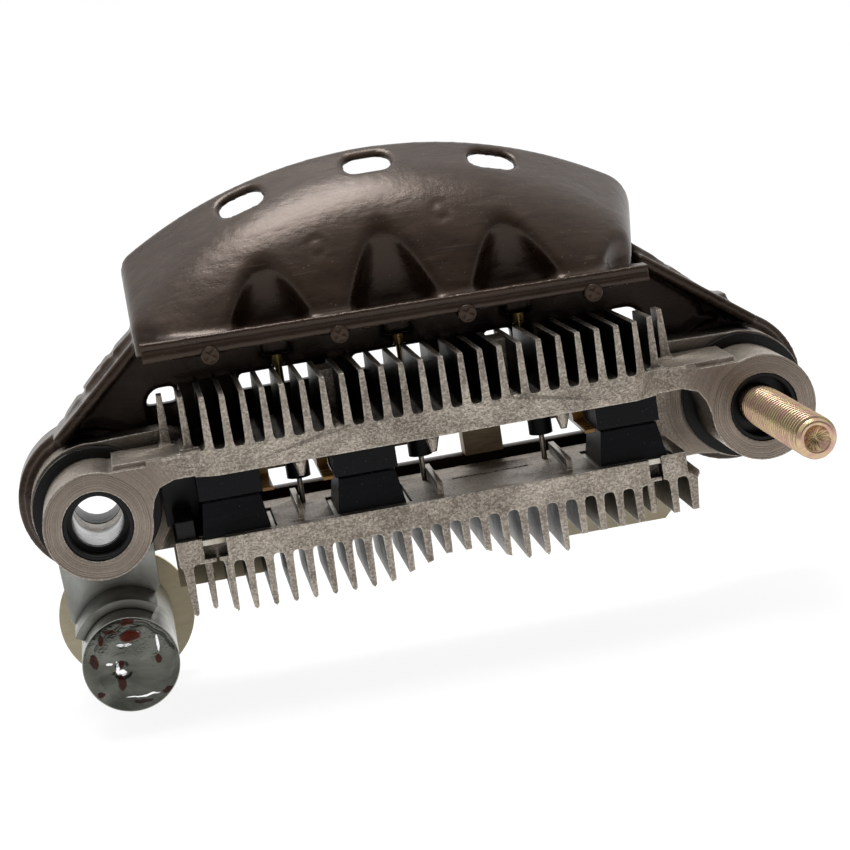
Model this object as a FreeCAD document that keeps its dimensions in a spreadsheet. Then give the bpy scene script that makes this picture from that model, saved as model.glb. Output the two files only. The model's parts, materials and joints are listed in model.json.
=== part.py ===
import FreeCAD, Part
import math
import os
import re
import Sketcher
from FreeCAD import Rotation, Vector

# Alternator rectifier, in millimetres.
# The origin is the left mounting hole's axis on the seat that meets the alternator's end bracket.
# +X runs from the left ear to the right ear, +Z points away from the shaft, and the pieces stack
# forward from the seat along -Y, so a depth counts from the seat towards the front.

dimensions = {
    # ears and the stack of pieces clamped at each ear
    "ear_spacing": 96.3,
    "bolt_hole_radius": 3.6,
    "board_ear_thick": 7.9,
    "neg_ear_thick": 5.7,
    "flange_thick": 1.2,
    "pos_ear_thick": 10.8,
    "ear_radius": 7.7,
    "ear_bore_radius": 5.0,
    "neg_ear_radius": 9.5,
    "board_ear_radius": 11.4,
    "fit_gap": 0.05,
    "seat_gap": 0.2,
    "sunk": 0.5,
    # finned bars
    "bar_step": 1.6,
    "bar_start": 14.4,
    "bar_length": 66.6,
    "facet_run": 3.2,
    "sink_gap": 0.7,
    "fin_first": 11.4,
    "fin_pitch": 2.81,
    "fin_count": 27,
    "fin_root": 1.7,
    "fin_crest": 0.7,
    "fin_flare": 0.35,
    "flare_rise": 0.6,
    # positive sink
    "pos_low": 4.5,
    "pos_base_thick": 3.7,
    "pos_fin_top": 15.7,
    "pos_fin_droop": 0.6,
    "arm_top": 7.2,
    "arm_low": 4.7,
    "land_rise": 0.8,
    "land_step": 0.8,
    "land_start": 3.3,
    "first_fin_back": 8.0,
    "second_fin_back": 3.0,
    "second_last_fin_back": 1.8,
    "last_fin_back": 7.4,
    "boss_fin": 8,
    "boss_fin_step": 9,
    "boss_front": 5.9,
    "boss_depth": 7.0,
    "boss_cap_wide": 0.5,
    "boss_cap_thick": 1.2,
    "nub_first": 29.2,
    "nub_pitch": 18.9,
    "nub_count": 3,
    "nub_radius": 1.3,
    "nub_drop": 2.4,
    # negative sink
    "neg_top": 4.4,
    "neg_base_thick": 3.5,
    "neg_left": 10.1,
    "block_wide": 3.7,
    "block_recess": 3.4,
    "neg_rim_left": 17.1,
    "neg_rim_right": 78.1,
    "neg_right": 84.0,
    "neg_fin_tip": 15.3,
    "notch_left": 37.9,
    "notch_peak": 47.6,
    "notch_right": 59.0,
    "notch_height": 2.9,
    "short_fins_start": 66.4,
    "short_fins_rise": 2.1,
    "web_inset": 13.7,
    "web_top": 9.7,
    "wall_rise": 1.7,
    "wall_thick": 0.8,
    "wall_left": 27.9,
    "wall_middle": 48.0,
    "wall_right": 66.9,
    "wall_front": 1.6,
    "wall_length": 13.2,
    "pocket_deep": 1.1,
    "groove_start": 51.2,
    "groove_length": 11.4,
    "groove_wide": 0.8,
    "groove_deep": 0.7,
    "groove_back": 9.0,
    # diodes
    "diode_wide": 9.0,
    "diode_deep": 10.0,
    "diode_back": 1.0,
    "diode_seam": 0.5,
    "diode_seam_gap": 0.35,
    "diode_taper": 0.8,
    "diode_left": 14.4,
    "diode_middle": 33.8,
    "diode_right": 72.0,
    "plate_margin": 1.0,
    "plate_front": 0.7,
    "plate_thick": 0.8,
    "strap_wide": 1.6,
    "strap_thick": 0.5,
    # small exciter diodes and the stator terminals
    "trio_first": 29.4,
    "trio_pitch": 18.1,
    "trio_back": 12.0,
    "trio_radius": 1.75,
    "trio_length": 3.6,
    "trio_top": 3.1,
    "trio_lead_radius": 0.4,
    "pin_radius": 0.55,
    "pin_top": 24.6,
    "pin_back": 17.8,
    "pin_boss_half": 2.0,
    "pin_boss_deep": 3.0,
    "ferrule_radius": 0.95,
    "ferrule_height": 1.6,
    # moulded cover
    "arc_shift": -1.2,
    "arc_drop": 27.0,
    "board_arc_radius": 63.2,
    "board_thick": 2.4,
    "board_front": 19.4,
    "board_low": 8.4,
    "window_left": 9.5,
    "window_right": 84.6,
    "window_low": 3.2,
    "window_top": 13.9,
    "window_round": 2.5,
    "rim_step": 0.9,
    "rim_rise": 1.4,
    "outer_rim_wide": 1.4,
    "hood_left": 9.2,
    "hood_right": 84.4,
    "hood_low": 21.0,
    "hood_front": 3.0,
    "hood_rear": 24.0,
    "hood_front_radius": 62.2,
    "hood_rear_radius": 71.3,
    "hood_lean": 0.45,
    "ridge_round": 5.0,
    "hood_wall": 1.4,
    "lip_height": 2.6,
    "lip_proud": 0.8,
    "lip_depth": 3.0,
    "lip_right": 82.8,
    "lip_fall": 0.9,
    "niche_middle": 46.4,
    "niche_pitch": 17.7,
    "niche_radius": 6.3,
    "niche_tip": 1.5,
    "niche_top_radius": 61.6,
    "left_niche": 7.4,
    "right_niche": 83.0,
    "end_niche_height": 9.0,
    "slot_angle": 15.4,
    "slot_left_angle": 16.0,
    "slot_length": 7.4,
    "slot_width": 5.4,
    "slot_back": 19.6,
    "vent_width": 13.0,
    "vent_low": 29.5,
    "arm_rib_wide": 1.7,
    "arm_rib_front": 13.5,
    "boss_pin_radius": 1.25,
    "boss_pin_first": 19.4,
    "boss_pin_pitch": 18.3,
    "terminal_wide": 5.8,
    "terminal_start": 54.8,
    "terminal_top": 0.7,
    "terminal_deep": 4.0,
    "ridge_bump": 0.9,
    # bushes, sleeve and bolt
    "bush_inset": 0.3,
    "bush_wall": 0.6,
    "bush_lip_at": 3.4,
    "bush_lip": 0.8,
    "flange_radius": 9.2,
    "bolt_radius": 3.0,
    "bolt_reach": 24.9,
    "thread_start": 0.8,
    "shank_radius": 2.7,
    "bolt_head_flats": 10.0,
    "bolt_head_thick": 4.0,
    "bolt_chamfer": 0.8,
    "tip_dish_radius": 1.9,
    "tip_dish_deep": 0.7,
    # capacitor
    "can_radius": 6.85,
    "can_x": 1.1,
    "can_drop": 20.1,
    "can_front": -1.0,
    "can_length": 27.4,
    "seal_radius": 4.9,
    "seal_rise": 0.9,
    "collar_thick": 1.25,
    "collar_left_slope": 0.53,
    "collar_right_slope": 1.28,
    "collar_length": 9.0,
    "bracket_thick": 1.0,
    "bracket_half": 7.2,
    "disc_radius": 10.2,
    "disc_thick": 1.0,
    "lead_radius": 0.6,
    # insulating sheets and the small block
    "sheet_thick": 0.5,
    "right_sheet_start": 66.6,
    "right_sheet_end": 85.0,
    "left_sheet_start": 9.8,
    "left_sheet_end": 24.0,
    "sheet_drop": 18.0,
    "left_sheet_drop": 15.0,
    "block_size": 2.6,
    "block_back": 1.4,
    "block_plate_wide": 6.0,
    "block_plate_thick": 1.6,
    "block_plate_top": 4.3,
}

doc = FreeCAD.newDocument("alternator_rectifier")
sheet = doc.addObject("Spreadsheet::Sheet", "Dims")
for row, (alias, value) in enumerate(dimensions.items(), start=1):
    sheet.set("A%d" % row, alias)
    sheet.set("B%d" % row, str(value))
    sheet.setAlias("B%d" % row, alias)
doc.recompute()

# places along the stack and across the part, worked out from the sizes above
neg_front = "(board_ear_thick + neg_ear_thick)"
pos_back = "(board_ear_thick + neg_ear_thick + flange_thick)"
ear_front = "(board_ear_thick + neg_ear_thick + flange_thick + pos_ear_thick)"
bar_front = "(board_ear_thick + neg_ear_thick + flange_thick + pos_ear_thick + bar_step)"
sink_rear = "(board_ear_thick + sink_gap)"
land_top = "(arm_top + land_rise)"
neg_base_low = "(neg_top + neg_base_thick)"
bar_end = "(bar_start + bar_length)"
last_fin = "(fin_first + fin_pitch * (fin_count - 1))"
arc_x = "(ear_spacing / 2 + arc_shift)"
diode_front = "(board_ear_thick + neg_ear_thick + flange_thick + pos_ear_thick - diode_back)"
pocket_floor = "(neg_top + pocket_deep)"
terminal_depth = "(board_ear_thick + neg_ear_thick + flange_thick + pos_ear_thick - pin_back)"
board_face = "(board_ear_thick + neg_ear_thick + flange_thick + pos_ear_thick - board_front)"

pin_low = "(diode_seam + strap_thick / 2)"
boss_low = "(pos_fin_top - pos_fin_droop + ferrule_height + seat_gap)"

diode_starts = ("diode_left", "diode_middle", "diode_right")

node_objects = []


def named(text):
    """Turn the plain size names in an expression into references to the sheet."""
    return re.sub(r"[a-z]\w*", lambda word: "Dims." + word.group()
                  if word.group() in dimensions else word.group(), str(text))


def number(text):
    """Value of an expression of size names, in millimetres."""
    result = sheet.evalExpression(named(text))
    return float(getattr(result, "Value", result))


def bind(thing, **settings):
    for prop, text in settings.items():
        thing.setExpression(prop, named(text))


def place(thing, x="0", y="0", z="0", turn=None):
    if turn:
        thing.Placement.Rotation = turn
    for axis, text in (("x", x), ("y", y), ("z", z)):
        thing.setExpression(".Placement.Base." + axis, named(text))


def node(name, thing):
    """Name a finished piece: its label is its file's name."""
    thing.Label = name
    node_objects.append(thing)
    return thing


facing_front = Rotation(Vector(1, 0, 0), 90)


def cylinder(name, x, depth, z, radius, length):
    """Cylinder along Y that starts at a depth and runs forward."""
    rod = doc.addObject("Part::Cylinder", name)
    bind(rod, Radius=radius, Height=length)
    place(rod, x, "-(%s)" % depth, z, facing_front)
    return rod


def upright(name, x, depth, z, radius, height):
    rod = doc.addObject("Part::Cylinder", name)
    bind(rod, Radius=radius, Height=height)
    place(rod, x, "-(%s)" % depth, z)
    return rod


def block(name, x, depth, z, width, thick, height):
    """Box whose rear face is at a depth and which runs forward by its thickness."""
    brick = doc.addObject("Part::Box", name)
    bind(brick, Length=width, Width=thick, Height=height)
    place(brick, x, "-(%s) - (%s)" % (depth, thick), z)
    return brick


def fuse(name, *shapes):
    joined = doc.addObject("Part::MultiFuse", name)
    joined.Shapes = list(shapes)
    joined.Refine = True
    return joined


def common(name, *shapes):
    shared = doc.addObject("Part::MultiCommon", name)
    shared.Shapes = list(shapes)
    return shared


def cut(name, base, tool):
    rest = doc.addObject("Part::Cut", name)
    rest.Base, rest.Tool = base, tool
    rest.Refine = True
    return rest


def origin_feature(body, role):
    return [part for part in body.Origin.OriginFeatures if part.Role == role][0]


def new_body(name):
    return doc.addObject("PartDesign::Body", name)


def new_sketch(body, name, plane, offset="0"):
    sketch = body.newObject("Sketcher::SketchObject", name)
    sketch.AttachmentSupport = [(origin_feature(body, plane), "")]
    sketch.MapMode = "FlatFace"
    sketch.setExpression(".AttachmentOffset.Base.z", named(offset))
    return sketch


def tie(sketch, kind, geometry, point, text):
    index = sketch.addConstraint(Sketcher.Constraint(kind, -1, 1, geometry, point, number(text)))
    sketch.setExpression("Constraints[%d]" % index, named(text))


def polygon(sketch, corners):
    """Closed outline of straight lines, each corner tied to the sheet."""
    spots = [Vector(number(across), number(up), 0) for across, up in corners]
    first = sketch.GeometryCount
    count = len(spots)
    for i, spot in enumerate(spots):
        sketch.addGeometry(Part.LineSegment(spot, spots[(i + 1) % count]), False)
    for i in range(count):
        sketch.addConstraint(Sketcher.Constraint("Coincident", first + i, 2,
                                                 first + (i + 1) % count, 1))
    for i, (across, up) in enumerate(corners):
        tie(sketch, "DistanceX", first + i, 1, across)
        tie(sketch, "DistanceY", first + i, 1, up)


def circle(sketch, across, up, radius):
    ring = sketch.addGeometry(Part.Circle(Vector(number(across), number(up), 0),
                                          Vector(0, 0, 1), number(radius)), False)
    tie(sketch, "DistanceX", ring, 3, across)
    tie(sketch, "DistanceY", ring, 3, up)
    index = sketch.addConstraint(Sketcher.Constraint("Radius", ring, number(radius)))
    sketch.setExpression("Constraints[%d]" % index, named(radius))


def pad(body, name, plane, offset, length, corners=None, rings=(), back=False):
    sketch = new_sketch(body, name + "_sketch", plane, offset)
    if corners:
        polygon(sketch, corners)
    for ring in rings:
        circle(sketch, *ring)
    solid = body.newObject("PartDesign::Pad", name)
    solid.Profile = sketch
    solid.Reversed = back
    solid.setExpression("Length", named(length))
    return solid


def pocket(body, name, plane, offset, length=None, outlines=(), rings=(), back=False):
    """Cut with outlines; with no length it goes both ways through everything."""
    sketch = new_sketch(body, name + "_sketch", plane, offset)
    for corners in outlines:
        polygon(sketch, corners)
    for ring in rings:
        circle(sketch, *ring)
    hole = body.newObject("PartDesign::Pocket", name)
    hole.Profile = sketch
    if length is None:
        hole.Midplane = True
        hole.Type = "ThroughAll"
    else:
        hole.Reversed = back
        hole.setExpression("Length", named(length))
    return hole


def repeat_along_x(body, name, feature, reach, count):
    pattern = body.newObject("PartDesign::LinearPattern", name)
    pattern.Originals = [feature]
    pattern.Direction = (origin_feature(body, "X_Axis"), [""])
    bind(pattern, Length=reach, Occurrences=count)
    body.Tip = pattern
    return pattern


def rectangle(left, low, width, height):
    right, top = "(%s) + (%s)" % (left, width), "(%s) + (%s)" % (low, height)
    return [(left, low), (right, low), (right, top), (left, top)]


def side_x(side, distance):
    """Distance inward from the left or the right ear's axis, as a place along X."""
    return distance if side == "left" else "ear_spacing - (%s)" % distance


def fin_foot(face, out, back):
    """Flared foot of the first fin, from its left edge to its right one."""
    rise, root = "%s %s flare_rise" % (face, out), "%s %s sunk" % (face, back)
    left, right = "fin_first - fin_root / 2", "fin_first + fin_root / 2"
    return [(left, rise), (left + " - fin_flare", face), (left + " - fin_flare", root),
            (right + " + fin_flare", root), (right + " + fin_flare", face), (right, rise)]


def positive_sink():
    """Upper casting: a finned bar, two arms and two bored ears."""
    body = new_body("PositiveSink")
    reach = {"left": "bar_start", "right": "ear_spacing - %s" % bar_end}
    front, step = "-%s" % bar_front, "-%s" % ear_front
    pad(body, "pos_base", "XY_Plane", "pos_low", "pos_base_thick", [
        ("bar_start", step), ("bar_start + facet_run", front),
        (bar_end + " - facet_run", front), (bar_end, step),
        (bar_end, "-" + sink_rear), ("bar_start", "-" + sink_rear)])
    for side in ("left", "right"):
        ear_x = side_x(side, "0")
        inner = side_x(side, "%s + 0.5" % reach[side])
        pad(body, "pos_arm_" + side, "XZ_Plane", pos_back, "pos_ear_thick", [
            (ear_x, "arm_top"), (inner, "arm_top"), (inner, "arm_low"),
            (side_x(side, "ear_radius + 3.8"), "arm_low"),
            (side_x(side, "ear_radius + 1.6"), "arm_low - 0.8"),
            (side_x(side, "ear_radius + 0.6"), "arm_low - 2.4"),
            (side_x(side, "ear_radius - 0.05"), "0"), (ear_x, "0")])
        pad(body, "pos_land_" + side, "XZ_Plane", pos_back, "pos_ear_thick - land_step", [
            (side_x(side, "land_start"), land_top), (inner, land_top),
            (inner, "arm_low + 0.5"), (side_x(side, "land_start"), "arm_low + 0.5")])
        pad(body, "pos_ear_" + side, "XZ_Plane", pos_back, "pos_ear_thick",
            rings=[(ear_x, "0", "ear_radius")])
        pocket(body, "pos_bore_" + side, "XZ_Plane", "0", None,
               rings=[(ear_x, "0", "ear_bore_radius")])
    nub = pad(body, "pos_nub", "XY_Plane", "pos_low + sunk", "nub_drop + sunk",
              rings=[("nub_first", "-%s + nub_radius + 0.6" % bar_front, "nub_radius")], back=True)
    nub.TaperAngle = -16
    repeat_along_x(body, "pos_nubs", nub, "nub_pitch * (nub_count - 1)", "nub_count")
    cast_bosses(body)
    fin = pad(body, "pos_fin", "XZ_Plane", sink_rear, "%s - %s" % (bar_front, sink_rear),
              fin_foot("pos_low + pos_base_thick", "+", "-") + [
                  ("fin_first + fin_crest / 2", "pos_fin_top"),
                  ("fin_first - fin_crest / 2", "pos_fin_top")])
    repeat_along_x(body, "pos_fins", fin, "fin_pitch * (fin_count - 1)", "fin_count")
    trim_positive_fins(body)
    return node("positive_heatsink", body)


def cast_bosses(body):
    """Two capped columns that stand between fins."""
    start = "fin_first + fin_pitch * boss_fin"
    column = pad(body, "boss_column", "XY_Plane", "pos_low + sunk",
                 "pos_fin_top - pos_low - pos_fin_droop - sunk",
                 rectangle(start, "-%s + boss_front" % ear_front, "fin_pitch", "boss_depth"))
    repeat_along_x(body, "boss_columns", column, "fin_pitch * boss_fin_step", "2")
    cap = pad(body, "boss_cap", "XY_Plane", "pos_fin_top - pos_fin_droop - boss_cap_thick",
              "boss_cap_thick",
              rectangle(start + " - fin_crest / 2 - boss_cap_wide",
                        "-%s + boss_front - boss_cap_wide" % ear_front,
                        "fin_pitch + fin_crest + boss_cap_wide * 2",
                        "boss_depth + boss_cap_wide"))
    repeat_along_x(body, "boss_caps", cap, "fin_pitch * boss_fin_step", "2")


def trim_positive_fins(body):
    """Shape the row of fins: slanted ends, stepped last fins and tops that fall to the rear."""
    front, step = "-%s" % bar_front, "-%s" % ear_front
    far = "-%s - 2" % bar_front
    beside_last = last_fin + " - fin_pitch / 2"
    beside_second = last_fin + " - fin_pitch * 1.5"
    left_out, right_out = "fin_first - 10", last_fin + " + 10"
    pocket(body, "pos_fin_ends", "XY_Plane", "0", None, [
        [(left_out, far), ("bar_start + facet_run", far), ("bar_start + facet_run", front),
         ("bar_start", step), (left_out, step)],
        [(bar_end + " - facet_run", far), (right_out, far), (right_out, step), (bar_end, step),
         (bar_end + " - facet_run", front)]])
    pocket(body, "pos_fin_steps", "XY_Plane", land_top, "20", [[
        (beside_second, far), (right_out, far),
        (right_out, step + " + last_fin_back"), (beside_last, step + " + last_fin_back"),
        (beside_last, step + " + second_last_fin_back"),
        (beside_second, step + " + second_last_fin_back")],
        [(left_out, far), ("fin_first + fin_pitch * 1.5", far),
         ("fin_first + fin_pitch * 1.5", step + " + second_fin_back"),
         ("fin_first + fin_pitch / 2", step + " + second_fin_back"),
         ("fin_first + fin_pitch / 2", step + " + first_fin_back"),
         (left_out, step + " + first_fin_back")]], back=True)
    pocket(body, "pos_fin_rears", "XY_Plane", "0", None, [
        rectangle(left_out, "-" + pos_back, "bar_start - (%s)" % left_out, pos_back + " + 1"),
        rectangle(bar_end, "-" + pos_back, "%s - %s" % (right_out, bar_end), pos_back + " + 1")])
    pocket(body, "pos_fin_slope", "YZ_Plane", "0", None, [[
        ("-" + bar_front, "pos_fin_top"), ("-" + sink_rear, "pos_fin_top - pos_fin_droop"),
        ("-" + sink_rear, "pos_fin_top + 5"), ("-" + bar_front, "pos_fin_top + 5")]])


def negative_sink():
    """Lower casting: a base with pockets and downward fins, and webs that rise to both ears."""
    body = new_body("NegativeSink")
    front, block_front = "-%s" % bar_front, "-%s" % ear_front
    inner = "-%s + block_recess" % ear_front
    pad(body, "neg_base", "XY_Plane", "-" + neg_base_low, "neg_base_thick", [
        ("neg_left", block_front), ("neg_left + block_wide", block_front),
        ("neg_left + block_wide", inner), ("neg_rim_left", inner), ("neg_rim_left", front),
        ("neg_rim_right", front), ("neg_rim_right", inner), ("neg_right - block_wide", inner),
        ("neg_right - block_wide", block_front), ("neg_right", block_front),
        ("neg_right", "-" + sink_rear), ("neg_left", "-" + sink_rear)])
    negative_ears(body)
    seats_and_walls(body)
    fin = pad(body, "neg_fin", "XZ_Plane", sink_rear, "%s - %s" % (bar_front, sink_rear),
              fin_foot("-" + neg_base_low, "-", "+") + [
                  ("fin_first + fin_crest / 2", "-neg_fin_tip + fin_crest / 2"),
                  ("fin_first", "-neg_fin_tip"),
                  ("fin_first - fin_crest / 2", "-neg_fin_tip + fin_crest / 2")])
    repeat_along_x(body, "neg_fins", fin, "fin_pitch * (fin_count - 1)", "fin_count")
    trim_negative_fins(body)
    return node("negative_heatsink", body)


def negative_ears(body):
    """Webs that rise from the base's ends to the two bored ears; the left leaves the bracket room."""
    for side in ("left", "right"):
        ear_x = side_x(side, "0")
        web = side_x(side, "web_inset")
        thick = "neg_ear_thick - bracket_thick" if side == "left" else "neg_ear_thick"
        pad(body, "neg_web_" + side, "XZ_Plane", "board_ear_thick", thick, [
            (ear_x, "neg_ear_radius - 0.1"), (side_x(side, "web_inset - 3"), "web_top"),
            (web, "web_top - 1"), (web, "-" + neg_base_low),
            (side_x(side, "neg_ear_radius - 2"), "-" + neg_base_low),
            (side_x(side, "neg_ear_radius - 5"), "-neg_ear_radius + 1.2"), (ear_x, "0")])
        pad(body, "neg_ear_" + side, "XZ_Plane", "board_ear_thick", thick,
            rings=[(ear_x, "0", "neg_ear_radius")])
        pocket(body, "neg_bore_" + side, "XZ_Plane", "0", None,
               rings=[(ear_x, "0", "bolt_hole_radius")])


def trim_negative_fins(body):
    """Set the end fins back, and shorten the fins in the middle and on the right."""
    far = "-%s - 2" % bar_front
    left_out, right_out = "fin_first - 10", last_fin + " + 10"
    pocket(body, "neg_fin_fronts", "XY_Plane", "0", None, [
        [(left_out, far), ("neg_rim_left", far), ("neg_rim_left", "-" + ear_front),
         (left_out, "-" + ear_front)],
        [("neg_rim_right", far), (right_out, far), (right_out, "-" + ear_front),
         ("neg_rim_right", "-" + ear_front)]])
    tip = "-neg_fin_tip"
    pocket(body, "neg_fin_tips", "XZ_Plane", "0", None, [
        [("notch_left", tip + " - 0.1"), ("notch_peak", tip + " + notch_height"),
         ("notch_peak + fin_pitch * 1.5", tip + " + notch_height"),
         ("notch_right", tip + " - 0.1")],
        [("short_fins_start", tip + " - 2"), ("short_fins_start", tip + " + short_fins_rise"),
         (right_out, tip + " + short_fins_rise + 0.3"), (right_out, tip + " - 2")]])


def seats_and_walls(body):
    """Pockets for the diodes, low walls beside them, and the slot in the raised land."""
    seats = [rectangle(start + " - plate_margin - seat_gap",
                       "-%s - plate_front - seat_gap" % diode_front,
                       "diode_wide + (plate_margin + seat_gap) * 2",
                       "diode_deep + plate_margin + plate_front + seat_gap * 2")
             for start in diode_starts]
    pocket(body, "diode_pockets", "XY_Plane", "-" + pocket_floor, "pocket_deep + 1", seats,
           back=True)
    for start in ("wall_left", "wall_middle", "wall_right"):
        pad(body, "neg_" + start, "XY_Plane", "-neg_top - sunk", "wall_rise + sunk",
            rectangle(start, "-%s + wall_front" % ear_front, "wall_thick", "wall_length"))
    pocket(body, "neg_groove", "XY_Plane", "-neg_top - groove_deep", "groove_deep + 1",
           [rectangle("groove_start", "-%s + groove_back" % ear_front,
                      "groove_length", "groove_wide")], back=True)


def diodes():
    """Three stacked pairs: upper ones hang from the positive bar, lower ones stand on plates."""
    for i, start in enumerate(diode_starts, start=1):
        upper = new_body("PositiveDiode%d" % i)
        pad(upper, "pos_diode_pad_%d" % i, "XY_Plane", "diode_seam + diode_seam_gap / 2",
            "pos_low - diode_seam - diode_seam_gap / 2",
            rectangle(start, "-" + diode_front, "diode_wide", "diode_deep"))
        node("positive_diode_%d" % i, upper)
        plate_top = "(-%s + plate_thick)" % pocket_floor
        lower = doc.addObject("Part::Wedge", "NegativeDiode%d" % i)
        bind(lower, Xmin="0", Xmax="diode_wide + diode_taper",
             Zmin="0", Zmax="diode_deep + diode_taper",
             X2min="diode_taper", X2max="diode_wide", Z2min="diode_taper", Z2max="diode_deep",
             Ymin="0", Ymax="diode_seam - diode_seam_gap / 2 - %s" % plate_top)
        place(lower, start + " - diode_taper / 2", "-%s + diode_deep + diode_taper / 2" % diode_front,
              plate_top, facing_front)
        node("negative_diode_%d" % i, lower)
        plate = new_body("DiodePlate%d" % i)
        pad(plate, "plate_pad_%d" % i, "XY_Plane", "-" + pocket_floor, "plate_thick",
            rectangle(start + " - plate_margin", "-%s - plate_front" % diode_front,
                      "diode_wide + plate_margin * 2", "diode_deep + plate_margin + plate_front"))
        node("diode_base_plate_%d" % i, plate)


def diode_straps():
    """Bent strips that lead from each pair's seam back to its stator terminal."""
    seam_low = "diode_seam - strap_thick / 2"
    starts = ("diode_left + diode_wide + fit_gap", "diode_middle - strap_wide - fit_gap",
              "diode_right - strap_wide - fit_gap")
    cross_rear = terminal_depth + " - strap_wide / 2"
    for i, start in enumerate(starts, start=1):
        pin_x = "trio_first + trio_pitch * %d" % (i - 1)
        run = block("StrapRun%d" % i, start, "%s - diode_deep" % diode_front, seam_low,
                    "strap_wide", "diode_deep - 1.5", "strap_thick")
        rise = block("StrapRise%d" % i, start, "%s - diode_deep" % diode_front, seam_low,
                     "strap_wide", "strap_thick", "pos_low - diode_seam - seat_gap")
        tail = block("StrapTail%d" % i, start, cross_rear, seam_low, "strap_wide",
                     "%s - diode_deep - (%s)" % (diode_front, cross_rear), "strap_thick")
        near, far = (pin_x, start) if i == 3 else (start, pin_x)
        cross = block("StrapCross%d" % i, near + (" - strap_wide / 2" if i == 3 else ""), cross_rear,
                      seam_low, "%s - (%s) + strap_wide / 2" % (far, near), "strap_wide",
                      "strap_thick")
        node("diode_strap_%d" % i, fuse("DiodeStrap%d" % i, run, rise, tail, cross))


def exciter_diodes():
    """Three small round diodes that stand on their leads beside the walls."""
    for i in range(3):
        x = "trio_first + trio_pitch * %d" % i
        depth = "%s - trio_back" % ear_front
        body = upright("TrioBody%d" % (i + 1), x, depth, "trio_top - trio_length",
                       "trio_radius", "trio_length")
        node("exciter_diode_%d" % (i + 1), body)
        lead = upright("TrioLead%d" % (i + 1), x, depth, "-neg_top", "trio_lead_radius",
                       "neg_top + trio_top - trio_length")
        node("exciter_diode_lead_%d" % (i + 1), lead)


def stator_terminals():
    """Brass pins with a solder collar, which stand on the straps and rise into the cover."""
    for i in range(3):
        x = "trio_first + trio_pitch * %d" % i
        pin = upright("PinRod%d" % (i + 1), x, terminal_depth, pin_low,
                      "pin_radius", "pin_top - %s" % pin_low)
        collar = upright("PinCollar%d" % (i + 1), x, terminal_depth,
                         "pos_fin_top - pos_fin_droop + seat_gap",
                         "ferrule_radius", "ferrule_height")
        node("stator_terminal_%d" % (i + 1), fuse("StatorTerminal%d" % (i + 1), pin, collar))


def hood_solid(name, inset, rear_reach):
    """Conical crown met by a leaning front wall; inset makes the hollow inside it."""
    crown = doc.addObject("Part::Cone", name + "_crown")
    bind(crown, Radius1="hood_rear_radius - %s + %s * (hood_rear_radius - hood_front_radius)"
         " / (hood_rear - hood_front)" % (inset, rear_reach),
         Radius2="hood_front_radius - %s" % inset, Height="hood_rear - hood_front + %s" % rear_reach)
    place(crown, arc_x, "-(%s - hood_rear - %s)" % (ear_front, rear_reach), "-arc_drop", facing_front)
    front = "-%s + hood_front + %s" % (ear_front, inset)
    rear = "-%s + hood_rear + %s" % (ear_front, rear_reach)
    low = "hood_low" if inset == "0" else "hood_low - 5"
    knee = "hood_low + lip_height"
    body = new_body(name + "_section")
    pad(body, name + "_pad", "YZ_Plane", "hood_left + %s" % inset,
        "hood_right - hood_left - 2 * %s" % inset, [
            (front, low), (front, knee), (front + " + 30 * hood_lean", knee + " + 30"),
            (rear, knee + " + 30"), (rear, low)])
    return common(name, crown, body)


def niche_cones(name, wall):
    """Five pointed half-round niches along the front wall, or their bulges inside."""
    cones = []
    below = "0" if wall == "0" else "(lip_height + 2)"
    lean = Rotation(Vector(1, 0, 0), -math.degrees(math.atan(number("hood_lean"))))
    middles = ["niche_middle + niche_pitch * %d" % i for i in (-1, 0, 1)]
    for i, x in enumerate(["left_niche"] + middles + ["right_niche"]):
        height = ("(sqrt((niche_top_radius)^2 - (%s - %s)^2) - arc_drop - hood_low - lip_height)"
                  % (x, arc_x))
        if x not in middles:
            height = "end_niche_height"
        cone = doc.addObject("Part::Cone", "%s_%d" % (name, i + 1))
        bind(cone, Radius1="niche_radius + %s" % wall, Radius2="niche_tip + %s" % wall,
             Height=height + " + %s + %s" % (wall, below))
        place(cone, x, "-%s + hood_front - 1.2 - %s * hood_lean" % (ear_front, below),
              "hood_low + lip_height - %s" % below, lean)
        cones.append(cone)
    return fuse(name, *cones)


def rounded_ridge(blank):
    """Soften the edge where the crown meets the leaning front wall."""
    doc.recompute()
    radius = number("ridge_round")
    behind = -number("%s - hood_front - hood_rear / 2" % ear_front)
    ridges = []
    for i, edge in enumerate(blank.Shape.Edges, start=1):
        box = edge.BoundBox
        if box.YMax < behind and box.XLength > radius and edge.Curve.TypeId != "Part::GeomLine":
            ridges.append((i, radius, radius))
    rounded = doc.addObject("Part::Fillet", "HoodRounded")
    rounded.Base = blank
    rounded.Edges = ridges
    return rounded


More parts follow.
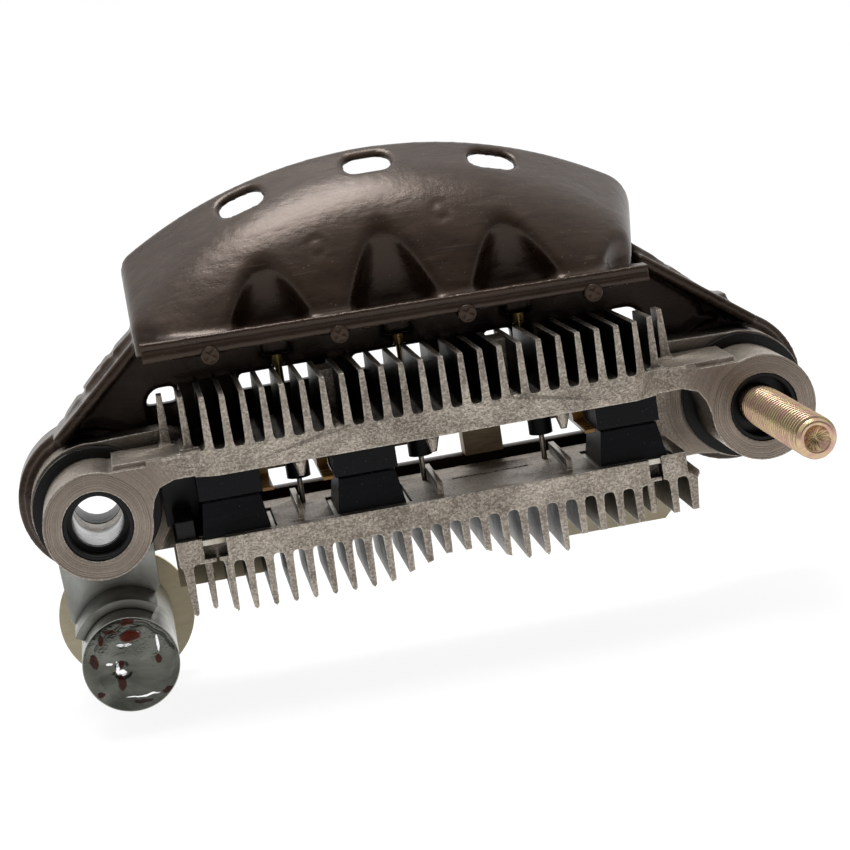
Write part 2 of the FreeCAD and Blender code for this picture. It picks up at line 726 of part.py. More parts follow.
def hood():
    """Thin moulded dome with niches in its front wall and three slots in its crown."""
    outer = rounded_ridge(hood_solid("HoodOuter", "0", "0"))
    hollow = hood_solid("HoodHollow", "hood_wall", "3")
    hollow = cut("HoodHollowNiched", hollow, niche_cones("NicheBacks", "hood_wall"))
    shell = cut("HoodShell", outer, hollow)
    shell = cut("HoodNiched", shell, niche_cones("Niches", "0"))
    slots = []
    for i in (-1, 0, 1):
        slots.append(slot_tool("Slot%d" % (i + 2), i))
    shell = cut("HoodSlotted", shell, fuse("Slots", *slots))
    lip = new_body("Lip")
    pad(lip, "lip_pad", "XZ_Plane", "%s - hood_front - lip_depth + lip_proud" % ear_front,
        "lip_depth", [("hood_left", "hood_low"), ("lip_right", "hood_low - lip_fall / 2"),
                      ("lip_right", "hood_low + lip_height - lip_fall"),
                      ("hood_left", "hood_low + lip_height")])
    pins = []
    for i in range(4):
        pins.append(cylinder("BossPin%d" % i, "boss_pin_first + boss_pin_pitch * %d" % i,
                             "%s - hood_front - lip_depth + lip_proud" % ear_front,
                             "hood_low - 0.2", "boss_pin_radius", "lip_depth + 0.3"))
    return fuse("Hood", shell, lip, *pins)


def slot_tool(name, step):
    """Round-ended slot cut radially through the crown."""
    straight = doc.addObject("Part::Box", name + "_box")
    bind(straight, Length="slot_length - slot_width", Width="slot_width", Height="20")
    place(straight, "-(slot_length - slot_width) / 2", "-slot_width / 2", "hood_front_radius - 8")
    ends = []
    for end, sign in (("a", "-"), ("b", "")):
        rod = doc.addObject("Part::Cylinder", name + "_end_" + end)
        bind(rod, Radius="slot_width / 2", Height="20")
        place(rod, sign + "(slot_length - slot_width) / 2", "0", "hood_front_radius - 8")
        ends.append(rod)
    tool = fuse(name, straight, *ends)
    angle = "slot_left_angle" if step < 0 else "slot_angle"
    tool.Placement.Rotation = Rotation(Vector(0, 1, 0), number(angle) * step)
    place(tool, arc_x, "-%s + slot_back" % ear_front, "-arc_drop")
    return tool


def board():
    """Arched plate behind the sinks, with two ears, a window and a lower bar."""
    body = new_body("Board")
    pad(body, "board_disc", "XZ_Plane", board_face + " - board_thick", "board_thick",
        rings=[(arc_x, "-arc_drop", "board_arc_radius")])
    far_left, far_right = "-30", "ear_spacing + 30"
    pocket(body, "board_lower", "XZ_Plane", "0", None, [[
        (far_left, "0"), ("0", "0"), ("0", "-board_low"), ("ear_spacing", "-board_low"),
        ("ear_spacing", "0"), (far_right, "0"), (far_right, "-120"), (far_left, "-120")]])
    for side in ("left", "right"):
        ear_x = side_x(side, "0")
        pad(body, "board_ear_" + side, "XZ_Plane", "0", "board_ear_thick - rim_rise",
            rings=[(ear_x, "0", "board_ear_radius")])
        pad(body, "board_ear_step_" + side, "XZ_Plane", "0", "board_ear_thick - rim_rise / 2",
            rings=[(ear_x, "0", "board_ear_radius - rim_step")])
        pad(body, "board_ear_face_" + side, "XZ_Plane", "0", "board_ear_thick",
            rings=[(ear_x, "0", "flange_radius + 0.2")])
    pocket(body, "board_window", "XZ_Plane", "0", None, [window_outline()])
    pad(body, "board_bumps", "XZ_Plane", board_face + " - board_thick", "board_thick", [
        ("trio_first + trio_pitch * 2 - 4.5", "-window_low - 1"),
        ("trio_first + trio_pitch * 2 - 4.5", "-window_low + ridge_bump"),
        ("trio_first + trio_pitch * 2 + 4", "-window_low + ridge_bump"),
        ("trio_first + trio_pitch * 2 + 4", "-window_low - 1")])
    pad(body, "board_bump_middle", "XZ_Plane", board_face + " - board_thick", "board_thick", [
        ("trio_first + trio_pitch - 3", "-window_low - 1"),
        ("trio_first + trio_pitch - 2", "-window_low + ridge_bump"),
        ("trio_first + trio_pitch + 4.6", "-window_low + ridge_bump"),
        ("trio_first + trio_pitch + 6", "-window_low - 1")])
    return body


def window_outline():
    """Opening behind the fins, with its corners cut off."""
    left, right = "window_left", "window_right"
    low, top, corner = "-window_low", "window_top", "window_round"
    return [(left, low + " + " + corner), (left + " + " + corner, low),
            (right + " - " + corner, low), (right, low + " + " + corner),
            (right, top + " - " + corner), (right + " - " + corner, top),
            (left + " + " + corner, top), (left, top + " - " + corner)]


def board_vents():
    """Air passages through the board behind the crown's slots."""
    vents = []
    for i in (-1, 0, 1):
        vent = doc.addObject("Part::Box", "Vent%d" % (i + 2))
        bind(vent, Length="vent_width", Width="20", Height="30")
        place(vent, "niche_middle + niche_pitch * 1.05 * %d - vent_width / 2" % i,
              "-%s + board_front - 6" % ear_front, "vent_low - 3 * %d" % abs(i))
        vents.append(vent)
    return fuse("Vents", *vents)


def arm_rib(side):
    """Wall that runs from the hood's end down to the ear boss."""
    body = new_body("ArmRib_" + side)
    hood_end = "hood_left" if side == "left" else "ear_spacing - hood_right"
    top = ("%s + 1.4" % hood_end, "hood_low + 1")
    foot = ("-3.2", "board_ear_radius - 1.4")
    pad(body, "rib_pad_" + side, "XZ_Plane", board_face + " - 0.5",
        "board_front - arm_rib_front + 0.5", [
            (side_x(side, top[0]), top[1]), (side_x(side, top[0] + " - arm_rib_wide"), top[1] + " + 0.6"),
            (side_x(side, foot[0] + " - arm_rib_wide"), foot[1]), (side_x(side, foot[0]), foot[1])])
    return body


def arc_rim():
    """Narrow rim along the board's outer arc."""
    ring = cylinder("RimDisc", arc_x, board_face + " - board_thick", "-arc_drop",
                    "board_arc_radius", "board_thick + rim_rise")
    inner = cylinder("RimInner", arc_x, board_face + " - board_thick - 1", "-arc_drop",
                     "board_arc_radius - outer_rim_wide", "board_thick + rim_rise + 2")
    upper = block("RimKeep", "-40", board_face + " - board_thick - 1", "board_ear_radius - 3",
                  "ear_spacing + 80", "board_thick + rim_rise + 2", "60")
    return common("Rim", cut("RimRing", ring, inner), upper)


def terminal_cover():
    """Brown moulding: hood, board, arms and ears in one piece."""
    plate = cut("BoardVented", board(), board_vents())
    bosses = [block("PinBoss%d" % i, "trio_first + trio_pitch * %d - pin_boss_half" % i,
                    board_face + " - sunk", boss_low, "pin_boss_half * 2", "pin_boss_deep + sunk",
                    "pin_top - 0.6 - " + boss_low) for i in range(3)]
    whole = fuse("CoverBlank", plate, hood(), arc_rim(), arm_rib("left"), arm_rib("right"), *bosses)
    left_hole = cylinder("CoverHoleLeft", "0", "-1", "0", "bolt_hole_radius", "board_ear_thick + 2")
    right_hole = cylinder("CoverHoleRight", "ear_spacing", "-1", "0", "shank_radius + fit_gap",
                          "board_ear_thick + 2")
    head = doc.addObject("Part::Prism", "CoverHeadPocket")
    head.Polygon = 6
    bind(head, Circumradius="(bolt_head_flats / 2 + fit_gap) / cos(30 deg)",
         Height="bolt_head_thick + 1")
    place(head, "ear_spacing", "1", "0", facing_front)
    holes = [left_hole, right_hole, head]
    for i in range(3):
        holes.append(upright("PinHole%d" % i, "trio_first + trio_pitch * %d" % i, terminal_depth,
                             pin_low, "pin_radius + fit_gap", "pin_top + 1 - " + pin_low))
    node("terminal_cover", cut("TerminalCover", whole, fuse("CoverHoles", *holes)))


def bushes():
    """Moulded bushes: a cup in the positive ear and a flange behind it."""
    for side in ("left", "right"):
        body = new_body("Bush_" + side)
        x = side_x(side, "0")
        outer = "ear_bore_radius - fit_gap"
        pad(body, "bush_tube_" + side, "XZ_Plane", neg_front + " + 0.3",
            "flange_thick + pos_ear_thick - bush_inset - 0.3", rings=[(x, "0", outer)])
        pad(body, "bush_flange_" + side, "XZ_Plane", neg_front, "flange_thick",
            rings=[(x, "0", "flange_radius")])
        pocket(body, "bush_cup_" + side, "XZ_Plane", ear_front + " - bush_lip_at", "bush_lip_at + 1",
               rings=[(x, "0", "%s - bush_wall" % outer)], back=True)
        if side == "left":
            pocket(body, "bush_lip_hole", "XZ_Plane", "0", None,
                   rings=[(x, "0", "bolt_hole_radius + fit_gap")])
            pocket(body, "bush_sleeve_seat", "XZ_Plane", neg_front + " - 1",
                   "%s - bush_lip_at - bush_lip - %s + 1" % (ear_front, neg_front),
                   rings=[(x, "0", "%s - bush_wall" % outer)], back=True)
        else:
            pad(body, "bush_spigot", "XZ_Plane", "board_ear_thick + fit_gap",
                "neg_ear_thick + 0.3", rings=[(x, "0", "bolt_hole_radius - fit_gap")])
            pocket(body, "bush_bolt_hole", "XZ_Plane", "0", None,
                   rings=[(x, "0", "shank_radius + fit_gap")])
        node("insulating_bush_" + side, body)


def mounting_sleeve():
    """Steel tube inside the left bush, which takes the clamping load."""
    body = new_body("Sleeve")
    pad(body, "sleeve_tube", "XZ_Plane", neg_front,
        "%s - bush_lip_at - bush_lip - %s" % (ear_front, neg_front),
        rings=[("0", "0", "ear_bore_radius - bush_wall - fit_gap * 2"),
               ("0", "0", "bolt_hole_radius")])
    node("mounting_sleeve", body)


def output_bolt():
    """Long bolt whose hexagon head is sunk in the right ear of the cover."""
    head = doc.addObject("Part::Prism", "BoltHead")
    head.Polygon = 6
    bind(head, Circumradius="bolt_head_flats / 2 / cos(30 deg)", Height="bolt_head_thick")
    place(head, "ear_spacing", "0", "0", facing_front)
    shank = cylinder("BoltShank", "ear_spacing", "bolt_head_thick - 0.5", "0", "shank_radius",
                     "%s - bolt_head_thick + thread_start + 1" % ear_front)
    thread = cylinder("BoltThread", "ear_spacing", ear_front + " + thread_start", "0",
                      "bolt_radius", "bolt_reach - thread_start - bolt_chamfer")
    tip = doc.addObject("Part::Cone", "BoltTip")
    bind(tip, Radius1="bolt_radius", Radius2="bolt_radius - bolt_chamfer * 0.8",
         Height="bolt_chamfer")
    place(tip, "ear_spacing", "-(%s + bolt_reach - bolt_chamfer)" % ear_front, "0", facing_front)
    dish = doc.addObject("Part::Sphere", "BoltDish")
    bind(dish, Radius="(tip_dish_radius^2 + tip_dish_deep^2) / (2 * tip_dish_deep)")
    place(dish, "ear_spacing", "-(%s + bolt_reach) - (tip_dish_radius^2 - tip_dish_deep^2)"
          " / (2 * tip_dish_deep)" % ear_front, "0")
    blank = fuse("BoltBlank", head, shank, thread, tip)
    node("output_bolt", cut("OutputBolt", blank, dish))


def capacitor():
    """Suppression capacitor: can, sealed end, clamp bracket, rear disc and lead."""
    front = "(%s - can_front)" % ear_front
    rear = "(%s - can_front - can_length)" % ear_front
    node("capacitor_can", cylinder("CapacitorCan", "can_x", rear, "-can_drop", "can_radius",
                                   "can_length"))
    ball = "(seal_radius^2 + seal_rise^2) / (2 * seal_rise)"
    dome = doc.addObject("Part::Sphere", "SealBall")
    bind(dome, Radius=ball)
    place(dome, "can_x", "-(%s + seal_rise - %s)" % (front, ball), "-can_drop")
    keep = cylinder("SealKeep", "can_x", front, "-can_drop", "seal_radius + 1", "seal_rise + 1")
    node("capacitor_end_seal", common("CapacitorEndSeal", dome, keep))
    disc = cylinder("DiscBlank", "can_x", rear + " - disc_thick", "-can_drop", "disc_radius",
                    "disc_thick")
    hole = cylinder("DiscHole", "can_x", rear + " - disc_thick - 1", "-can_drop",
                    "lead_radius + fit_gap", "disc_thick + 2")
    flat = block("DiscFlat", "can_x - disc_radius", rear + " - disc_thick - 1",
                 "-board_ear_radius - seat_gap * 2", "disc_radius * 2", "disc_thick + 2", "10")
    disc = cut("CapacitorDisc", disc, fuse("DiscCuts", hole, flat))
    node("capacitor_disc", disc)
    capacitor_bracket()
    capacitor_lead(rear)


def capacitor_bracket():
    """Zinc-plated plate clamped in front of the negative ear, with a collar round the can."""
    body = new_body("Bracket")
    start = neg_front + " - bracket_thick"
    half = "bracket_half"
    collar_radius = "(can_radius + fit_gap + collar_thick)"
    pad(body, "bracket_plate", "XZ_Plane", start, "bracket_thick", [
        ("-" + half, "0"), ("-%s + 0.6" % half, "-can_drop + can_radius * 0.6"),
        ("can_x - can_radius + 0.6", "-can_drop"), ("can_x + can_radius - 0.6", "-can_drop"),
        (half + " - 0.4", "-can_drop + can_radius * 0.6"), (half, "0")])
    pad(body, "bracket_eye", "XZ_Plane", start, "bracket_thick", rings=[("0", "0", half)])
    pad(body, "bracket_collar", "XZ_Plane", start, "collar_length",
        rings=[("can_x", "-can_drop", collar_radius)])
    pocket(body, "bracket_can_hole", "XZ_Plane", "0", None,
           rings=[("can_x", "-can_drop", "can_radius + fit_gap")])
    pocket(body, "bracket_open_side", "XZ_Plane", "0", None, [[
        ("can_x", "-can_drop"), ("can_x - 15", "-can_drop + 15 * collar_left_slope"),
        ("can_x - 15", "-can_drop - 15"), ("can_x + 15", "-can_drop - 15"),
        ("can_x + 15", "-can_drop + 15 * collar_right_slope")]])
    pocket(body, "bracket_bolt_hole", "XZ_Plane", "0", None,
           rings=[("0", "0", "bolt_hole_radius")])
    node("capacitor_bracket", body)


def capacitor_lead(rear):
    """Stiff lead from the can's rear up to the lower bar of the board."""
    run = cylinder("LeadRun", "can_x", "-3.4", "-can_drop", "lead_radius", rear + " + 3.4")
    node("capacitor_lead", run)


def sheets():
    """Insulating sheets that hang behind the lower fins, and the small moulded block."""
    rear = sink_rear + " - sheet_thick"
    right = new_body("RightSheet")
    pad(right, "right_sheet_pad", "XZ_Plane", rear, "sheet_thick", [
        ("right_sheet_start", "-%s" % neg_base_low), ("right_sheet_start", "-sheet_drop"),
        ("right_sheet_end - 1.5", "-sheet_drop"), ("right_sheet_end", "-sheet_drop + 1.5"),
        ("right_sheet_end", "-%s" % neg_base_low)])
    node("right_insulating_sheet", right)
    left = new_body("LeftSheet")
    pad(left, "left_sheet_pad", "XZ_Plane", rear, "sheet_thick", [
        ("left_sheet_start", "-%s" % neg_base_low), ("left_sheet_start", "-left_sheet_drop"),
        ("left_sheet_end", "-left_sheet_drop"), ("left_sheet_end", "-%s" % neg_base_low)])
    node("left_insulating_sheet", left)
    node("terminal_block", block("TerminalBlock", "terminal_start",
                                 board_face + " - board_thick", "-window_low",
                                 "terminal_wide", "terminal_deep", "window_low + terminal_top"))
    web_face = neg_front + " - bracket_thick"
    foot = block("BlockFoot", "neg_left + 0.4", web_face, "-neg_top", "block_size",
                 "%s - block_back - (%s)" % (ear_front, web_face), "block_size")
    upright_plate = block("BlockPlate", "flange_radius + 0.25", web_face, "-neg_top",
                          "block_plate_wide", "block_plate_thick", "neg_top + block_plate_top")
    node("insulating_block", fuse("InsulatingBlock", foot, upright_plate))


positive_sink()
negative_sink()
diodes()
diode_straps()
exciter_diodes()
stator_terminals()
terminal_cover()
bushes()
mounting_sleeve()
output_bolt()
capacitor()
sheets()
doc.recompute()


def check_and_export():
    """Stop on any failed object or bad shape, then write one file for each node."""
    for thing in doc.Objects:
        if {"Invalid", "Error"} & set(thing.State):
            raise RuntimeError("failed object: " + thing.Label)
    for thing in node_objects:
        if thing.Shape.isNull() or not thing.Shape.isValid():
            raise RuntimeError("bad shape: " + thing.Label)
    os.makedirs("parts", exist_ok=True)
    for thing in node_objects:
        thing.Shape.exportStep(os.path.join("parts", thing.Label + ".step"))
        print(thing.Label, len(thing.Shape.Solids), round(thing.Shape.Volume, 1))


check_and_export()
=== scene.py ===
import json
import math
import bmesh
import bpy
import numpy as np
from mathutils import Matrix, Vector


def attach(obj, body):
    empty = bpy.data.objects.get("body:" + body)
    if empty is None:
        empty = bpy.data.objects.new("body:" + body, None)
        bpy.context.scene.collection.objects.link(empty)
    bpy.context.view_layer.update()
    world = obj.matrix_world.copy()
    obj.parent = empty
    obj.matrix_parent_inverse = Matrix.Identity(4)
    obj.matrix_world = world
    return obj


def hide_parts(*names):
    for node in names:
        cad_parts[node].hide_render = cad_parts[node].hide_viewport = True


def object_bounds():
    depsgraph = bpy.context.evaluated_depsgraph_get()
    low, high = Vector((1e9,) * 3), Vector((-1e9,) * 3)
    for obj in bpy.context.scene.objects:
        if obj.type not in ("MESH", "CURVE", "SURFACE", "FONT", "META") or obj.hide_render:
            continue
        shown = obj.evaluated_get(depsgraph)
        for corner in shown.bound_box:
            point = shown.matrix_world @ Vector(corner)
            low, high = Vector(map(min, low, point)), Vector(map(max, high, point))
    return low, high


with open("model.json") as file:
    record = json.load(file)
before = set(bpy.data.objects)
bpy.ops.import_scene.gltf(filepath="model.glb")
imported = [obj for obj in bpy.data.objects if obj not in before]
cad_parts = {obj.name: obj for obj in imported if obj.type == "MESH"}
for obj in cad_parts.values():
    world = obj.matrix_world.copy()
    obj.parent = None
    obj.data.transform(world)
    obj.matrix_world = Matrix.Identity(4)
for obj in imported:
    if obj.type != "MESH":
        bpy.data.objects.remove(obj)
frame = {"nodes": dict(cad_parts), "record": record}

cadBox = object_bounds()
nodes = frame["nodes"]
mm = 0.001
print("frame loaded:", len(nodes), "nodes")

# camera, at the photo's viewing angle
cameraView = {
    "place": (0.00962, -0.349336, 0.071891),
    "right": (0.97843403, -0.14455556, -0.14923455),
    "down": (-0.17386718, -0.17646414, -0.96882275),
    "ahead": (0.1134562, 0.97360264, -0.1979382),
    "lens": 100.0,
    "sensor": 36.0,
}


def makeCamera(view):
    data = bpy.data.cameras.new("photoCamera")
    data.lens = view["lens"]
    data.sensor_width = view["sensor"]
    data.sensor_fit = "HORIZONTAL"
    data.clip_start = 0.01
    data.clip_end = 20
    camera = bpy.data.objects.new("photoCamera", data)
    bpy.context.scene.collection.objects.link(camera)
    axes = (view["right"], [-v for v in view["down"]], [-v for v in view["ahead"]])
    camera.matrix_world = Matrix.Translation(view["place"]) @ Matrix(axes).transposed().to_4x4()
    bpy.context.scene.camera = camera


makeCamera(cameraView)
print("camera placed")


# helpers for node trees

def addNode(tree, kind, inputs=None, **settings):
    node = tree.nodes.new(kind)
    for key, value in settings.items():
        setattr(node, key, value)
    for key, value in (inputs or {}).items():
        if isinstance(value, bpy.types.NodeSocket):
            tree.links.new(value, node.inputs[key])
        else:
            node.inputs[key].default_value = value
    return node


def newGroup(name, inputs, outputs):
    tree = bpy.data.node_groups.new(name, "ShaderNodeTree")
    for label, kind, default in inputs:
        socket = tree.interface.new_socket(label, in_out="INPUT", socket_type="NodeSocket" + kind)
        socket.default_value = default
    for label, kind in outputs:
        tree.interface.new_socket(label, in_out="OUTPUT", socket_type="NodeSocket" + kind)
    return tree, tree.nodes.new("NodeGroupInput"), tree.nodes.new("NodeGroupOutput")


def noise(tree, vector, scale, detail=2.0, roughness=0.5, distortion=0.0):
    return addNode(tree, "ShaderNodeTexNoise", {
        "Vector": vector, "Scale": scale, "Detail": detail, "Roughness": roughness,
        "Distortion": distortion}).outputs["Fac"]


def combine(tree, operation, a, b):
    return addNode(tree, "ShaderNodeMath", {0: a, 1: b}, operation=operation).outputs[0]


def combineVectors(tree, operation, a, b):
    return addNode(tree, "ShaderNodeVectorMath", {0: a, 1: b}, operation=operation).outputs[0]


def scaleVector(tree, vector, factor):
    return addNode(tree, "ShaderNodeVectorMath", {0: vector, "Scale": factor},
                   operation="SCALE").outputs[0]


def between(tree, value, low, high):
    node = addNode(tree, "ShaderNodeMapRange", {"Value": value, "From Min": low, "From Max": high},
                   clamp=True)
    return node.outputs["Result"]


def remap(tree, value, low, high):
    return addNode(tree, "ShaderNodeMapRange", {"Value": value, "To Min": low, "To Max": high}).outputs[0]


def mixColour(tree, factor, a, b):
    node = addNode(tree, "ShaderNodeMix", data_type="RGBA")
    for socket, value in ((node.inputs[0], factor), (node.inputs[6], a), (node.inputs[7], b)):
        if isinstance(value, bpy.types.NodeSocket):
            tree.links.new(value, socket)
        else:
            socket.default_value = value if isinstance(value, float) else (*value, 1.0)
    return node.outputs[2]


# effects shared by the materials

def makeSoftEdges():
    tree, start, end = newGroup("softEdges", [("Radius", "Float", 0.0003)],
                                [("Normal", "Vector"), ("Edge", "Float")])
    rounded = addNode(tree, "ShaderNodeBevel", {"Radius": start.outputs[0]}, samples=6)
    geometry = addNode(tree, "ShaderNodeNewGeometry")
    dot = addNode(tree, "ShaderNodeVectorMath", {0: rounded.outputs[0], 1: geometry.outputs["Normal"]},
                  operation="DOT_PRODUCT").outputs["Value"]
    edge = between(tree, dot, 0.998, 0.84)
    tree.links.new(rounded.outputs[0], end.inputs[0])
    tree.links.new(edge, end.inputs[1])
    return tree


def makeCastGrain():
    tree, start, end = newGroup("castGrain", [("Scale", "Float", 1.0)],
                                [("Height", "Float"), ("Pits", "Float"), ("Patches", "Float"),
                                 ("Glitter", "Float")])
    place = addNode(tree, "ShaderNodeTexCoord").outputs["Object"]
    scaled = scaleVector(tree, place, start.outputs[0])
    grit = noise(tree, scaled, 3000.0, 2.0, 0.7)
    lumps = noise(tree, scaled, 800.0, 3.0, 0.6)
    pits = between(tree, noise(tree, scaled, 1700.0, 2.0, 0.7), 0.36, 0.24)
    height = combine(tree, "ADD", combine(tree, "MULTIPLY", grit, 0.8),
                     combine(tree, "MULTIPLY", lumps, 0.6))
    height = combine(tree, "SUBTRACT", height, combine(tree, "MULTIPLY", pits, 0.3))
    glitter = between(tree, grit, 0.42, 0.64)
    patches = between(tree, noise(tree, scaled, 160.0, 4.0, 0.6, 0.6), 0.35, 0.68)
    for index, value in enumerate((height, pits, patches, glitter)):
        tree.links.new(value, end.inputs[index])
    return tree


def makeMouldedSkin():
    tree, start, end = newGroup("mouldedSkin", [("Scale", "Float", 1.0)],
                                [("Height", "Float"), ("Cloud", "Float"), ("Dust", "Float")])
    place = addNode(tree, "ShaderNodeTexCoord").outputs["Object"]
    scaled = scaleVector(tree, place, start.outputs[0])
    peel = noise(tree, scaled, 700.0, 3.0, 0.55)
    waves = noise(tree, scaled, 110.0, 2.0, 0.5)
    drawn = combineVectors(tree, "MULTIPLY", scaled, (0.25, 1.0, 1.2))
    flow = noise(tree, drawn, 420.0, 4.0, 0.65, 0.8)
    height = combine(tree, "ADD", combine(tree, "MULTIPLY", peel, 0.30),
                     combine(tree, "MULTIPLY", waves, 0.85))
    height = combine(tree, "ADD", height, combine(tree, "MULTIPLY", flow, 0.22))
    cloud = between(tree, flow, 0.30, 0.72)
    dust = between(tree, noise(tree, scaled, 2600.0, 1.0, 0.4), 0.74, 0.80)
    for index, value in enumerate((height, cloud, dust)):
        tree.links.new(value, end.inputs[index])
    return tree


def makeScuffs():
    tree, start, end = newGroup("scuffs", [("Scale", "Float", 1.0)], [("Lines", "Float")])
    place = addNode(tree, "ShaderNodeTexCoord").outputs["Object"]
    bent = addNode(tree, "ShaderNodeMapping", {
        "Vector": place, "Rotation": (0.4, 0.9, 0.7), "Scale": (60.0, 900.0, 900.0)}).outputs[0]
    scaled = scaleVector(tree, bent, start.outputs[0])
    lines = between(tree, noise(tree, scaled, 1.6, 2.0, 0.5), 0.66, 0.72)
    tree.links.new(lines, end.inputs[0])
    return tree


# turning marks round both ears' bores; lengths in metres
tooling = {"centres": ((0.0, 0.0, 0.0), (0.0963, 0.0, 0.0)), "reach": 0.0115, "wobble": 0.0008,
           "wobbleScale": 200.0, "ringScale": 3800.0}


def makeEarTooling(size):
    tree, start, end = newGroup("earTooling", [("Reach", "Float", size["reach"])],
                                [("Faced", "Float"), ("Arcs", "Float")])
    place = addNode(tree, "ShaderNodeTexCoord").outputs["Object"]
    flat = combineVectors(tree, "MULTIPLY", place, (1, 0, 1))
    near = None
    for centre in size["centres"]:
        away = addNode(tree, "ShaderNodeVectorMath", {0: flat, 1: centre},
                       operation="DISTANCE").outputs["Value"]
        near = away if near is None else combine(tree, "MINIMUM", near, away)
    wobble = combine(tree, "MULTIPLY", noise(tree, place, size["wobbleScale"]), size["wobble"])
    ring = addNode(tree, "ShaderNodeCombineXYZ", {0: combine(tree, "ADD", near, wobble)}).outputs[0]
    arcs = between(tree, noise(tree, ring, size["ringScale"], 3.0, 0.8), 0.34, 0.66)
    normal = addNode(tree, "ShaderNodeNewGeometry").outputs["True Normal"]
    facing = addNode(tree, "ShaderNodeSeparateXYZ", {0: normal}).outputs[1]
    faced = between(tree, combine(tree, "MULTIPLY", facing, -1.0), 0.96, 0.99)
    inside = between(tree, combine(tree, "DIVIDE", near, start.outputs[0]), 1.25, 0.95)
    tree.links.new(combine(tree, "MULTIPLY", faced, inside), end.inputs[0])
    tree.links.new(arcs, end.inputs[1])
    return tree


softEdges = makeSoftEdges()
earTooling = makeEarTooling(tooling)
castGrain = makeCastGrain()
mouldedSkin = makeMouldedSkin()
scuffs = makeScuffs()


def useGroup(tree, group, **values):
    node = tree.nodes.new("ShaderNodeGroup")
    node.node_tree = group
    for key, value in values.items():
        node.inputs[key].default_value = value
    return node


def newMaterial(name, **uniform):
    material = bpy.data.materials.new(name)
    material.use_nodes = True
    tree = material.node_tree
    shader = tree.nodes["Principled BSDF"]
    for key, value in uniform.items():
        shader.inputs[key.replace("_", " ")].default_value = value
    return material, tree, shader


def finishBump(tree, shader, height, strength, distance, normal=None):
    inputs = {"Height": height, "Strength": strength, "Distance": distance}
    if normal:
        inputs["Normal"] = normal
    bump = addNode(tree, "ShaderNodeBump", inputs)
    tree.links.new(bump.outputs[0], shader.inputs["Normal"])


# ambient occlusion made into a mask for painted shade in hollows, crevices and between parts
def occlusionShade(tree, distance, low, high):
    shade = addNode(tree, "ShaderNodeAmbientOcclusion", {"Distance": distance}, samples=8)
    return between(tree, shade.outputs["AO"], high, low)


# the two darkest colours are painted shade, one on faces turned sideways and one in crevices and between
# the fins; the brightest goes on edges, partly as wear and partly as a painted highlight
castFinish = {"light": (0.60, 0.53, 0.45), "dark": (0.19, 0.16, 0.13), "creviceShadeColour": (0.010, 0.008, 0.006),
              "flank": (0.045, 0.036, 0.028), "bright": (0.92, 0.86, 0.76),
              "turnedDark": (0.12, 0.098, 0.08), "turnedLight": (0.36, 0.30, 0.25),
              "bevel": 0.00034, "bump": 0.00017, "rough": (0.42, 0.32)}


def makeCastAluminium(name, finish):
    material, tree, shader = newMaterial(name)
    edges = useGroup(tree, softEdges, Radius=finish["bevel"])
    grain = useGroup(tree, castGrain)
    normal = addNode(tree, "ShaderNodeNewGeometry").outputs["True Normal"]
    # faces turned sideways get painted shade, strongest where ambient occlusion is
    facing = addNode(tree, "ShaderNodeSeparateXYZ", {0: normal}).outputs[0]
    flank = between(tree, combine(tree, "ABSOLUTE", facing, 0.0), 0.80, 0.97)
    turned = useGroup(tree, earTooling)
    tone = combine(tree, "ADD", combine(tree, "MULTIPLY", grain.outputs["Patches"], 0.45),
                   combine(tree, "MULTIPLY", grain.outputs["Glitter"], 0.55))
    colour = mixColour(tree, tone, finish["dark"], finish["light"])
    facedTone = mixColour(tree, turned.outputs["Arcs"], finish["turnedDark"], finish["turnedLight"])
    colour = mixColour(tree, combine(tree, "MULTIPLY", turned.outputs["Faced"], 0.85), colour, facedTone)
    sideShade = combine(tree, "MULTIPLY", occlusionShade(tree, 0.006, 0.55, 1.0), flank)
    colour = mixColour(tree, combine(tree, "MULTIPLY", sideShade, 0.93), colour, finish["flank"])
    # painted shade in crevices and between the fins, from ambient occlusion
    creviceShade = occlusionShade(tree, 0.005, 0.05, 0.50)
    colour = mixColour(tree, combine(tree, "MULTIPLY", creviceShade, 0.88), colour, finish["creviceShadeColour"])
    # edges lightened and made less metallic, partly as wear and partly as a painted highlight
    wearAndHighlight = combine(tree, "MULTIPLY", edges.outputs["Edge"],
                   combine(tree, "ADD", combine(tree, "MULTIPLY", grain.outputs["Glitter"], 0.8), 0.2))
    wearAndHighlight = combine(tree, "MULTIPLY", wearAndHighlight, combine(tree, "SUBTRACT", 1.0, creviceShade))
    colour = mixColour(tree, wearAndHighlight, colour, finish["bright"])
    tree.links.new(combine(tree, "SUBTRACT", 1.0, combine(tree, "MULTIPLY", wearAndHighlight, 0.55)),
                   shader.inputs["Metallic"])
    tree.links.new(colour, shader.inputs["Base Color"])
    tree.links.new(remap(tree, grain.outputs["Patches"], *finish["rough"]), shader.inputs["Roughness"])
    unturned = combine(tree, "SUBTRACT", 1.0, combine(tree, "MULTIPLY", turned.outputs["Faced"], 0.8))
    height = combine(tree, "MULTIPLY", grain.outputs["Height"], unturned)
    marks = combine(tree, "MULTIPLY", turned.outputs["Arcs"], turned.outputs["Faced"])
    height = combine(tree, "ADD", height, combine(tree, "MULTIPLY", marks, 0.25))
    finishBump(tree, shader, height, 1.0, finish["bump"], edges.outputs["Normal"])
    return material


# the amber edge colour is partly chipped wear and partly a painted highlight
brownFinish = {"deep": (0.013, 0.0065, 0.0038), "warm": (0.036, 0.020, 0.0125),
               "wearAndHighlight": (0.22, 0.115, 0.06), "dust": (0.30, 0.26, 0.21), "shade": (0.007, 0.0045, 0.0035),
               "gloss": (1.0, 0.80, 0.68, 1.0), "bevel": 0.0004, "bump": 0.00019,
               "sheen": (0.50, 0.04), "rough": (0.25, 0.34)}


